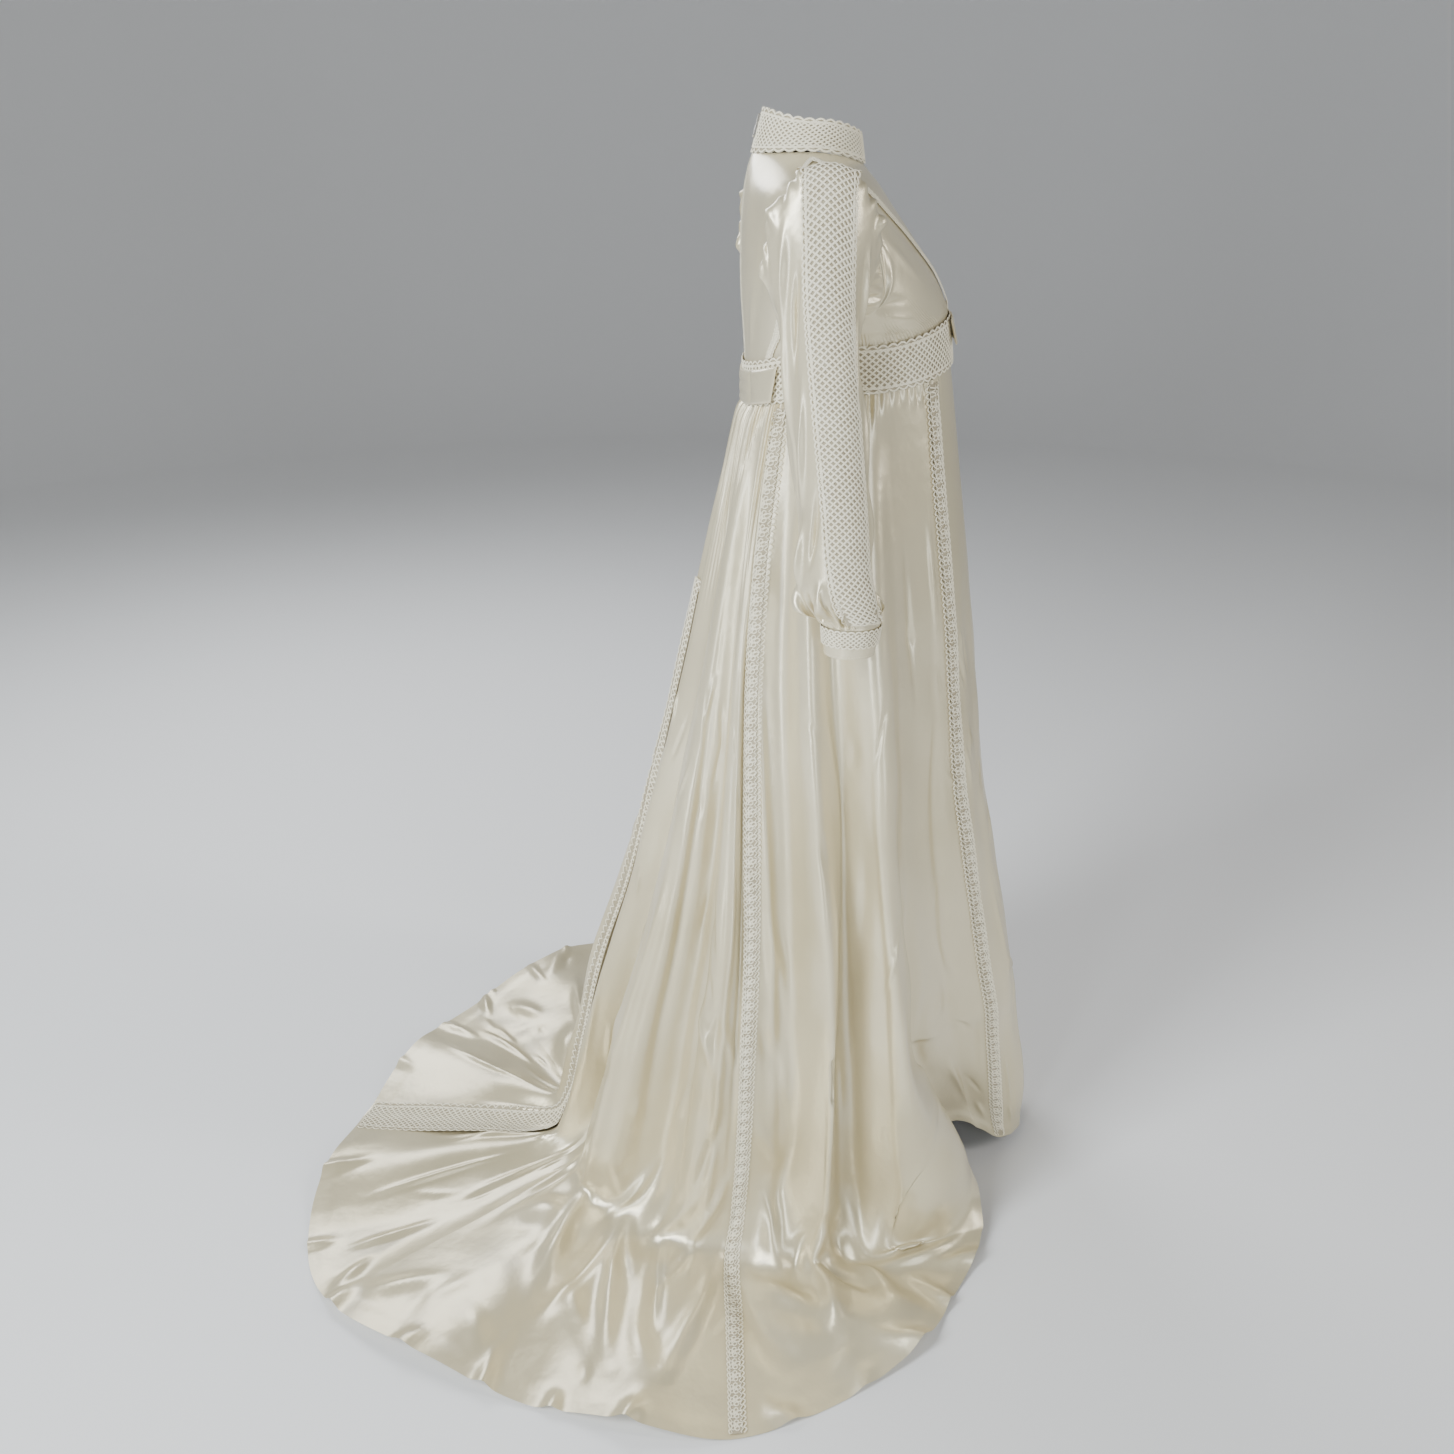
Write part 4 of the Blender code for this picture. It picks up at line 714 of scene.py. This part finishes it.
def panelGrid(field, rows, columns, start, end, low=0.0, high=1.0, lift=0.0):
    down = np.linspace(low, high, rows)
    share = np.linspace(0.0, 1.0, columns)
    left = np.array([start(value) for value in down])[:, None]
    right = np.array([end(value) for value in down])[:, None]
    return onField(field, mix(left, right, share[None]), down[:, None], lift)


def makeBodice():
    panels = []
    for word, side in (("right", -1.0), ("left", 1.0)):
        front = lambda value, side=side: side * np.interp(value, seamHeights, frontSeam)
        back = lambda value, side=side: side * np.interp(value, seamHeights, backSeam)
        edge = lambda value, side=side: side
        slit = lambda value, side=side: side * 0.006
        panels.append((f"bodice_side_front_{word}", frontField, front, edge, 140))
        panels.append((f"bodice_back_{word}", backField, slit, back, 40))
        panels.append((f"bodice_side_back_{word}", backField, back, edge, 50))
    panels.append(("bodice_front_inset", frontField, lambda value: -np.interp(value, seamHeights, frontSeam),
                   lambda value: np.interp(value, seamHeights, frontSeam), 60))
    for name, field, start, end, columns in panels:
        grid = panelGrid(field, 110, columns, start, end)
        clothFrom(f"satin_{name}", grid, satin, [name])


def zipSlit(share):  # half the slit over the zip, in seam numbers
    return np.interp(share, (0.0, 0.15, 0.16), (0.022, 0.011, 0.0))


def makeSkirt():
    gores = (("skirt_front", -1.0, 1.0, 120), ("skirt_side_left", 1.0, 2.0, 150),
             ("skirt_side_right", -2.0, -1.0, 150), ("skirt_side_back_left", 2.0, 3.0, 90),
             ("skirt_side_back_right", -3.0, -2.0, 90), ("skirt_back_left", 3.0, 4.0, 80),
             ("skirt_back_right", -4.0, -3.0, 80))
    for name, start, end, columns in gores:
        left = lambda value: start + (zipSlit(value) if start == -4.0 else 0.0)
        right = lambda value: end - (zipSlit(value) if end == 4.0 else 0.0)
        grid = panelGrid(skirt, 220, columns, left, right)
        clothFrom(f"satin_{name}", grid, satin, [name])


def makeSleeves():
    for word in ("right", "left"):
        grid = sleeves[word]["points"][:, :-1]
        clothFrom(f"satin_sleeve_{word}", grid, satin, [f"sleeve_{word}"], closed=True)
        cuff = cuffs[word]["points"][:, :-1]
        clothFrom(f"satin_cuff_{word}", cuff, satin, [f"cuff_{word}"], closed=True)


makeBodice()
makeSkirt()
makeSleeves()
midriffGrid = panelGrid(belt, 9, 200, lambda value: -179.5, lambda value: 179.5)
clothFrom("satin_midriff", midriffGrid, satin, ["midriff"])
print("satin pieces made")


# ---------- lace: threads laid on a surface ----------

class Threads:  # gathers ribbons of thread into one piece
    def __init__(self):
        self.points, self.faces, self.count = [], [], 0

    def add(self, field, across, down, width, lift, crown=0.0007):  # one ribbon per row of places
        middle = onField(field, across, down, lift)
        top = onField(field, across, down, lift + crown)
        out = unit(top - middle)
        ahead = unit(np.gradient(middle, axis=1))
        side = unit(np.cross(ahead, out)) * (0.5 * width)
        ribbon = np.stack((middle - side, top, middle + side), 2)
        lines, stops = across.shape
        ends = np.arange(lines * stops * 3).reshape(lines, stops, 3) + self.count
        quads = np.stack((ends[:, :-1, :-1], ends[:, :-1, 1:], ends[:, 1:, 1:], ends[:, 1:, :-1]), -1)
        self.points.append(ribbon.reshape(-1, 3))
        self.faces.append(quads.reshape(-1, 4))
        self.count += lines * stops * 3

    def piece(self, name, material, slot):
        made = meshFrom(name, np.concatenate(self.points), np.concatenate(self.faces), material)
        return made


def bandPlaces(band, s, t):  # s runs along a band in metres, t across it from -1 to 1
    along = np.interp(s, band["run"], band["line"])
    centre = np.interp(s, band["run"], band["centre"])
    reach = np.interp(s, band["run"], band["reach"])
    if band["lengthwise"]:
        return centre + reach * t, along
    return along, centre + reach * t


def lengthwiseBand(field, centre, width, low, high):  # a band that runs down a surface, over its centre line
    down = np.linspace(low, high, 200)
    middle = np.array([centre(value) for value in down])
    points = onField(field, middle, down)
    run = np.concatenate(([0.0], np.linalg.norm(np.diff(points, axis=0), axis=-1).cumsum()))
    step = 0.01 * (field["columns"][-1] - field["columns"][0])
    wide = np.linalg.norm(onField(field, middle + step, down) - onField(field, middle - step, down), axis=-1)
    reach = np.convolve(np.pad(width * step / wide, 6, mode="edge"), np.ones(13) / 13.0, mode="valid")
    return {"line": down, "run": run, "centre": middle, "reach": reach, "lengthwise": True, "length": run[-1]}


def roundBand(field, low, high, start, end):  # a band that runs round the body
    angle = np.linspace(start, end, 300)
    points = onField(field, angle, np.full_like(angle, 0.5 * (low + high)))
    run = np.concatenate(([0.0], np.linalg.norm(np.diff(points, axis=0), axis=-1).cumsum()))
    return {"line": angle, "run": run, "centre": np.full_like(angle, 0.5 * (low + high)),
            "reach": np.full_like(angle, 0.5 * (high - low)), "lengthwise": False, "length": run[-1]}


def addNet(threads, field, band, width, net):  # two families of slanting threads
    across = np.linspace(-1.0, 1.0, net["steps"])
    half = net["slope"] * width
    starts = np.arange(0.0, band["length"] + half, net["pitch"])
    for way in (1.0, -1.0):
        s = starts[:, None] - 0.5 * half + way * 0.5 * half * across[None]
        t = np.repeat(across[None], len(starts), axis=0)
        u, v = bandPlaces(band, np.clip(s, 0.0, band["length"]), t * net["inside"])
        threads.add(field, u, v, net["thread"], net["lift"] + (0.0002 if way > 0.0 else 0.0))


def addWave(threads, field, band, t, wave, sides=(1.0,)):  # a wavy thread along a band's edge
    stops = int(band["length"] / wave["pitch"]) * wave["steps"] + 1
    s = np.linspace(0.0, band["length"], stops)
    phase = np.arange(stops) / wave["steps"]
    swing = np.abs(np.sin(np.pi * phase)) if wave["scallop"] else np.sin(2.0 * np.pi * phase)
    for side in sides:
        u, v = bandPlaces(band, s[None], (side * (t + wave["swing"] * swing))[None])
        threads.add(field, u, v, wave["thread"], wave["lift"])


def addRings(threads, field, band, t, ring):  # small round loops in a row
    middle = np.arange(0.5 * ring["pitch"], band["length"], ring["pitch"])
    turn = np.linspace(0.0, 2.0 * np.pi, ring["steps"])
    s = middle[:, None] + ring["radius"] * np.cos(turn)[None]
    across = t + ring["radius"] / ring["half"] * np.sin(turn)[None] + 0.0 * s
    u, v = bandPlaces(band, np.clip(s, 0.0, band["length"]), across)
    threads.add(field, u, v, ring["thread"], ring["lift"])


def addFlowers(threads, field, band, half, flower):  # five round petals and a knot, one flower after another
    turn = np.linspace(0.0, 2.0 * np.pi, flower["steps"])
    middles = np.arange(0.5 * flower["pitch"], band["length"] - 0.3 * flower["pitch"], flower["pitch"])
    for petal in range(flower["petals"]):
        way = 2.0 * np.pi * petal / flower["petals"] + 0.4
        s = middles[:, None] + flower["out"] * math.cos(way) + flower["petal"] * np.cos(turn)[None]
        t = (flower["out"] * math.sin(way) + flower["petal"] * np.sin(turn)[None]) / half + 0.0 * s
        u, v = bandPlaces(band, np.clip(s, 0.0, band["length"]), t)
        threads.add(field, u, v, flower["thread"], flower["lift"])
    s = middles[:, None] + 0.0012 * np.cos(turn)[None]
    u, v = bandPlaces(band, s, 0.0012 * np.sin(turn)[None] / half + 0.0 * s)
    threads.add(field, u, v, 0.0022, flower["lift"] + 0.0004)


# a sheet under a band's threads; with the ground material its dark colour is painted shade in the net's holes
def addGround(name, field, band, half, t, lift, material, nodes, columns=6, spacing=0.004, wave=None):
    rows = max(int(band["length"] / spacing), 2)
    s = np.linspace(0.0, band["length"], rows)[:, None]
    share = np.linspace(-1.0, 1.0, columns)[None]
    reach = t if wave is None else t + wave["swing"] * np.abs(np.sin(np.pi * s / wave["pitch"]))
    u, v = bandPlaces(band, s + 0.0 * share, reach * share)
    grid = onField(field, u, v, lift)
    piece = clothFrom(name, grid, material, nodes)
    return piece


beltLace = {"pitch": 0.0085, "slope": 1.0, "thread": 0.0021, "lift": 0.0030, "inside": 0.86, "steps": 9}
edgeScallop = {"pitch": 0.0120, "swing": 0.13, "thread": 0.0020, "lift": 0.0030, "steps": 6, "scallop": True}
innerLine = {"pitch": 0.0060, "swing": 0.02, "thread": 0.0024, "lift": 0.0030, "steps": 3, "scallop": False}


def makeBelt():
    width = 0.050
    band = roundBand(belt, 0.06, 0.96, -179.4, 179.4)
    wave = dict(edgeScallop, pitch=band["length"] / round(band["length"] / edgeScallop["pitch"]))
    addGround("net_belt_ground", belt, band, 0.5 * width, 0.96, 0.0022, ground, ["belt_lace"], wave=wave)
    threads = Threads()
    addNet(threads, belt, band, width, beltLace)
    addWave(threads, belt, band, 0.94, wave, (1.0, -1.0))
    addWave(threads, belt, band, 0.86, innerLine, (1.0, -1.0))
    threads.piece("net_belt_threads", lace, "lace")


def makeCollar():
    width = 0.040
    band = roundBand(collar, 0.02, 0.94, -179.0, 179.0)
    wave = dict(edgeScallop, pitch=band["length"] / 30, swing=0.16, lift=0.0008)
    addGround("net_collar_ground", collar, band, 0.5 * width, 0.96, 0.0, ground, ["collar_lace"], wave=wave)
    threads = Threads()
    for side in (0.0008, -0.0014):
        addNet(threads, collar, band, width, dict(beltLace, pitch=0.0072, thread=0.0019, lift=side, steps=7))
        addWave(threads, collar, band, 0.94, dict(wave, lift=side), (1.0, -1.0))
        addWave(threads, collar, band, 0.84, dict(innerLine, lift=side), (1.0, -1.0))
    threads.piece("net_collar_threads", lace, "lace")


def makeBraids():
    for word, side in (("right", -1.0), ("left", 1.0)):
        for end, field, seam in (("front", frontField, frontSeam), ("back", backField, backSeam)):
            line = lambda value: side * np.interp(value, seamHeights, seam)
            band = lengthwiseBand(field, line, 0.0095, 0.004, 0.997)
            addGround(f"braid_{end}_{word}_ground", field, band, 0.00475, 1.0, 0.0013, lace,
                      [f"braid_{end}_{word}"], columns=4)
            threads = Threads()
            zigzag = {"pitch": 0.0066, "swing": 0.75, "thread": 0.0018, "lift": 0.0019, "steps": 6,
                      "scallop": False}
            addWave(threads, field, band, 0.0, zigzag, (1.0, -1.0))
            picots = {"pitch": 0.0055, "swing": 0.35, "thread": 0.0014, "lift": 0.0014, "steps": 4, "scallop": True}
            addWave(threads, field, band, 0.90, picots, (1.0, -1.0))
            threads.piece(f"braid_{end}_{word}_threads", lace, "lace")


def makeTrims():
    flower = {"pitch": 0.0165, "petals": 5, "out": 0.0048, "petal": 0.0027, "steps": 7, "thread": 0.0017,
              "lift": 0.0018}
    for word, side in (("right", -1.0), ("left", 1.0)):
        for end, seam in (("front", 1.0), ("side_back", 2.0)):
            line = lambda value: side * seam
            band = lengthwiseBand(skirt, line, 0.022, 0.004, 0.996)
            addGround(f"trim_{end}_{word}_ground", skirt, band, 0.011, 0.72, 0.0012, ground,
                      [f"trim_{end}_{word}"], columns=6, spacing=0.005)
            threads = Threads()
            addFlowers(threads, skirt, band, 0.011, flower)
            edge = {"pitch": 0.0075, "swing": 0.26, "thread": 0.0018, "lift": 0.0016, "steps": 4, "scallop": True}
            addWave(threads, skirt, band, 0.76, edge, (1.0, -1.0))
            cord = {"pitch": 0.0075, "swing": 0.12, "thread": 0.0013, "lift": 0.0018, "steps": 4,
                    "scallop": False}
            addWave(threads, skirt, band, 0.62, cord, (1.0, -1.0))
            threads.piece(f"trim_{end}_{word}_threads", lace, "lace")


def makeTrainBand():
    width = 0.056
    wide = lambda value: 4.0
    band = lengthwiseBand(skirt, wide, width, 0.165, 0.997)
    wave = dict(edgeScallop, swing=0.11, lift=0.0020)
    addGround("train_band_ground", skirt, band, 0.5 * width, 0.93, 0.0014, ground, ["train_band_lace"],
              columns=14, wave=wave)
    threads = Threads()
    addNet(threads, skirt, band, width, dict(beltLace, pitch=0.0090, lift=0.0020, inside=0.84, steps=10))
    addWave(threads, skirt, band, 0.93, wave, (1.0, -1.0))
    addWave(threads, skirt, band, 0.84, dict(innerLine, lift=0.0020), (1.0, -1.0))
    threads.piece("train_band_threads", lace, "lace")


def makeSleeveBands():
    width = 0.058
    for word in ("right", "left"):
        field = sleeves[word]
        twist = lambda value: -32.0 * (value / 10.0) ** 1.3
        band = lengthwiseBand(field, twist, width, 0.35, 9.3)
        wave = dict(edgeScallop, pitch=0.0075, swing=0.07, lift=0.0020, steps=5)
        addGround(f"sleeve_band_{word}_ground", field, band, 0.5 * width, 0.93, 0.0014, ground,
                  [f"sleeve_band_{word}"], columns=14)
        threads = Threads()
        addNet(threads, field, band, width, dict(beltLace, pitch=0.0072, slope=0.85, thread=0.0020, lift=0.0020,
                                                 inside=0.90, steps=11))
        addWave(threads, field, band, 0.92, wave, (1.0, -1.0))
        addWave(threads, field, band, 0.84, dict(innerLine, lift=0.0020), (1.0, -1.0))
        threads.piece(f"sleeve_band_{word}_threads", lace, "lace")


def makeCuffLace():
    for word in ("right", "left"):
        field = cuffs[word]
        band = roundBand(field, 0.06, 0.54, -179.9, 179.9)
        wave = dict(edgeScallop, pitch=band["length"] / 26, swing=0.35, lift=0.0019)
        addGround(f"cuff_lace_{word}_ground", field, band, 0.009, 0.9, 0.0013, ground, [f"cuff_lace_{word}"],
                  wave=wave)
        threads = Threads()
        addNet(threads, field, band, 0.017, dict(beltLace, pitch=0.0060, thread=0.0016, lift=0.0018, steps=5))
        addWave(threads, field, band, 0.90, wave, (1.0, -1.0))
        threads.piece(f"cuff_lace_{word}_threads", lace, "lace")


# ---------- bows, zip and stitching ----------

bows = {
    "bow_back": {"middle": 180.0, "knot": 20.5, "top": 45.0, "foot": 41.0, "low": 0.06, "high": 0.80,
                 "flare": 0.0010},
    "bow_front": {"middle": 0.0, "knot": 4.0, "top": 25.0, "foot": 24.0, "low": 0.44, "high": 0.97,
                  "flare": 0.0040},
}
bowShape = {"rows": 30, "columns": 36, "lift": 0.0046, "half": 0.0017, "stand": 0.0030, "pleat": 0.0004}


def makeBows():
    t = np.linspace(0.0, 1.0, bowShape["columns"])[None]
    w = np.linspace(0.0, 1.0, bowShape["rows"])[:, None]
    for name, bow in bows.items():
        sides = [("knot", 0.0)]
        way = 1.0 if bow["middle"] > 90.0 else -1.0
        sides += [("right", way), ("left", -way)]
        for word, side in sides:
            knot = word == "knot"
            startTop = startFoot = -bow["knot"] if knot else side * (bow["knot"] + 0.2)
            endTop, endFoot = (bow["knot"], bow["knot"]) if knot else (side * bow["top"], side * bow["foot"])
            angle = bow["middle"] + mix(mix(startFoot, startTop, w), mix(endFoot, endTop, w), t)
            angle = np.where(angle > 190.0, angle - 360.0, angle)
            share = mix(bow["low"], bow["high"], w) + 0.0 * t
            round8 = np.minimum(1.0 - np.abs(2.0 * t - 1.0) ** 10, 1.0 - np.abs(2.0 * w - 1.0) ** 14)
            stand = 0.0 if knot else bowShape["stand"] * t ** 2 + bow["flare"] * t * (1.0 - w)
            pleats = np.sin(2.0 * np.pi * (3.0 * w + 0.12 * np.sin(7.0 * t))) if knot else \
                np.sin(2.0 * np.pi * (2.2 * w + 0.3 * t)) * (1.0 - t) ** 1.5
            high = bowShape["lift"] + stand + bowShape["half"] * round8 + bowShape["pleat"] * pleats * round8
            low = bowShape["lift"] + stand - bowShape["half"] * round8
            outer, inner = onField(belt, angle, share, high), onField(belt, angle, share, low)
            rows, columns = outer.shape[:2]
            points = np.concatenate((outer.reshape(-1, 3), inner.reshape(-1, 3)))
            faces = np.concatenate((gridFaces(rows, columns), gridFaces(rows, columns, start=rows * columns)[:, ::-1]))
            piece = meshFrom(f"satin_{name}_{word}", points, faces, satin)
            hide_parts(f"{name}_{word}")


zipLook = {"pitch": 0.0024, "tooth": (0.0013, 0.0007, 0.0007), "deep": -0.0007, "stitch": 0.0024, "gap": 0.0014,
           "beside": 0.0060}


def zipRuns():  # the surfaces that the zip runs down, with the places on its line
    return ((collar, 180.0, 0.92, 0.0), (backField, 0.0, 1.0, 0.0), (belt, 180.0, 1.0, 0.0),
            (skirt, 4.0, 0.0, 0.155))


def zipLine(field, middle, start, end, pitch):
    down = np.linspace(start, end, 200)
    points = onField(field, np.full_like(down, middle), down)
    run = np.concatenate(([0.0], np.linalg.norm(np.diff(points, axis=0), axis=-1).cumsum()))
    return np.interp(np.arange(0.5 * pitch, run[-1], pitch), run, down)


def makeZipTeeth():
    wide, tall, thick = zipLook["tooth"]
    points, faces = [], []
    block = np.array([(x, y, z) for x in (-1, 1) for y in (-1, 1) for z in (-1, 1)], float)
    skin = np.array(((0, 1, 3, 2), (4, 6, 7, 5), (0, 4, 5, 1), (2, 3, 7, 6), (0, 2, 6, 4), (1, 5, 7, 3)))
    count = 0
    for field, middle, start, end in zipRuns():
        for place in zipLine(field, middle, start, end, 0.5 * zipLook["pitch"]):
            centre = onField(field, np.array(middle), np.array(place), np.array(zipLook["deep"]))
            out = unit(onField(field, np.array(middle), np.array(place), np.array(0.001)) - centre)
            up = unit(np.cross(out, np.array((1.0, 0.0, 0.0))))
            side = np.cross(up, out)
            hand = 0.0004 * (-1) ** (count % 2)
            corners = block * (wide, tall, thick) * 0.5
            points.append(centre + side * hand + corners[:, :1] * side + corners[:, 1:2] * up + corners[:, 2:] * out)
            faces.append(skin + 8 * count)
            count += 1
    piece = meshFrom("zip_teeth", np.concatenate(points), np.concatenate(faces), metal)


def addStitches(threads, field, across, down, lift):  # one short ribbon between each pair of places
    threads.add(field, across, down, 0.0006, lift, crown=0.0003)


def makeStitches():
    threads = Threads()
    step = zipLook["stitch"] + zipLook["gap"]
    for field, middle, start, end in zipRuns()[1:]:
        if field is belt:
            continue
        places = zipLine(field, middle, start, end, step)
        turn = 0.5 * (places[1] - places[0]) * zipLook["stitch"] / step
        down = places[:, None] + np.array((-turn, 0.0, turn))[None]
        here = onField(field, np.full_like(places, middle), places)
        there = onField(field, np.full_like(places, middle - 0.01), places)
        reach = 0.01 * zipLook["beside"] / np.linalg.norm(there - here, axis=-1)
        for side in (-1.0, 1.0):
            addStitches(threads, field, middle + side * reach[:, None] + 0.0 * down, down, 0.0002)
    for cuff in cuffs.values():
        turn = np.linspace(-179.0, 179.0, 62)
        across = turn[:, None] + np.array((-1.7, 0.0, 1.7))[None]
        for share in (0.62, 0.93):
            addStitches(threads, cuff, across, share + 0.0 * across, 0.0003)
    threads.piece("stitching", lace, "lace")


makeBows()
makeZipTeeth()
makeStitches()
print("bows, zip and stitches made")
makeBelt()
makeCollar()
makeBraids()
makeTrims()
makeTrainBand()
makeSleeveBands()
makeCuffLace()
print("lace made")


# ---------- the frame's own pieces, light and camera ----------

finishes = {"lace": lace, "tape": tape, "metal": metal, "satin": satin}
for name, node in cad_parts.items():
    kind = "metal" if name in ("zip_slider", "zip_pull") else "tape" if name == "zip_tape" else \
        "satin" if name.startswith(("bow", "cuff_left", "cuff_right")) else "lace"
    node.data.materials.clear()
    node.data.materials.append(finishes[kind])

studio = {"ground": (0.88, 0.88, 0.88), "world": 0.15, "lens": 32.43, "pitch": 24.7, "yaw": 3.5,
          "camera": (-1.59, 0.187, 0.035)}
sweep = {"flat": 5.0, "bend": 3.0, "wall": 6.0}
profile = [(0.0, 0.0), (sweep["flat"], 0.0)]
for step in range(1, 13):
    turn = math.radians(90.0 * step / 12)
    profile.append((sweep["flat"] + sweep["bend"] * math.sin(turn), sweep["bend"] * (1.0 - math.cos(turn))))
profile.append((sweep["flat"] + sweep["bend"], sweep["wall"]))
sides = 64
corners, tiles = [], []
for radius, up in profile[1:]:
    for side in range(sides):
        turn = 2.0 * math.pi * side / sides
        corners.append((radius * math.cos(turn), radius * math.sin(turn), floorLevel - 0.0005 + up))
for ring in range(len(profile) - 2):
    for side in range(sides):
        after = (side + 1) % sides
        tiles.append((ring * sides + side, (ring + 1) * sides + side, (ring + 1) * sides + after,
                      ring * sides + after))
tiles.append(tuple(range(sides)))
floorMesh = bpy.data.meshes.new("floor")
floorMesh.from_pydata(corners, [], tiles)
floorMesh.polygons.foreach_set("use_smooth", [True] * (len(tiles) - 1) + [False])
floorPiece = bpy.data.objects.new("floor", floorMesh)
bpy.context.collection.objects.link(floorPiece)
floorLook = bpy.data.materials.new("floorPaint")
floorLook.use_nodes = True
floorShader = floorLook.node_tree.nodes["Principled BSDF"]
floorShader.inputs["Base Color"].default_value = (*studio["ground"], 1.0)
floorShader.inputs["Roughness"].default_value = 0.9
floorMesh.materials.append(floorLook)

world = bpy.data.worlds.new("studio")
world.use_nodes = True
world.node_tree.nodes["Background"].inputs["Color"].default_value = (1.0, 0.99, 0.97, 1.0)
world.node_tree.nodes["Background"].inputs["Strength"].default_value = studio["world"]
bpy.context.scene.world = world


def softLight(name, place, aim, size, power, color=(1.0, 1.0, 1.0)):
    light = bpy.data.lights.new(name, "AREA")
    light.shape = "RECTANGLE"
    light.size, light.size_y = size
    light.energy = power
    light.color = color
    lamp = bpy.data.objects.new(name, light)
    lamp.location = place
    lamp.visible_camera = False
    toward = Vector(aim) - Vector(place)
    lamp.rotation_euler = toward.to_track_quat("-Z", "Y").to_euler()
    bpy.context.collection.objects.link(lamp)


softLight("key", (-1.9, 2.6, 1.5), (0.0, 0.1, -0.7), (1.0, 2.4), 165.0, (0.91, 0.96, 1.0))
softLight("stripBehind", (-2.9, 1.55, -0.25), (-0.2, 0.1, -0.8), (0.40, 2.0), 36.0, (0.86, 0.93, 1.0))
softLight("stripAhead", (-2.9, -1.15, -0.15), (-0.2, 0.0, -0.8), (0.28, 2.0), 20.0, (0.88, 0.94, 1.0))
softLight("front", (-1.0, -2.8, 0.9), (0.0, -0.1, -0.7), (0.4, 2.0), 36.0, (1.0, 0.97, 0.92))
softLight("far", (1.9, 1.1, 0.8), (-0.1, 0.4, -1.3), (1.4, 1.4), 42.0, (0.93, 0.96, 1.0))

lens = bpy.data.cameras.new("photoView")
lens.lens = studio["lens"]
lens.sensor_width = 36.0
lens.clip_end = 100.0
camera = bpy.data.objects.new("photoView", lens)
camera.location = studio["camera"]
pitch, yaw = math.radians(studio["pitch"]), math.radians(studio["yaw"])
forward = Vector((math.cos(yaw) * math.cos(pitch), -math.sin(yaw) * math.cos(pitch), -math.sin(pitch)))
camera.rotation_euler = forward.to_track_quat("-Z", "Y").to_euler()
bpy.context.collection.objects.link(camera)
bpy.context.scene.camera = camera
print("studio set")
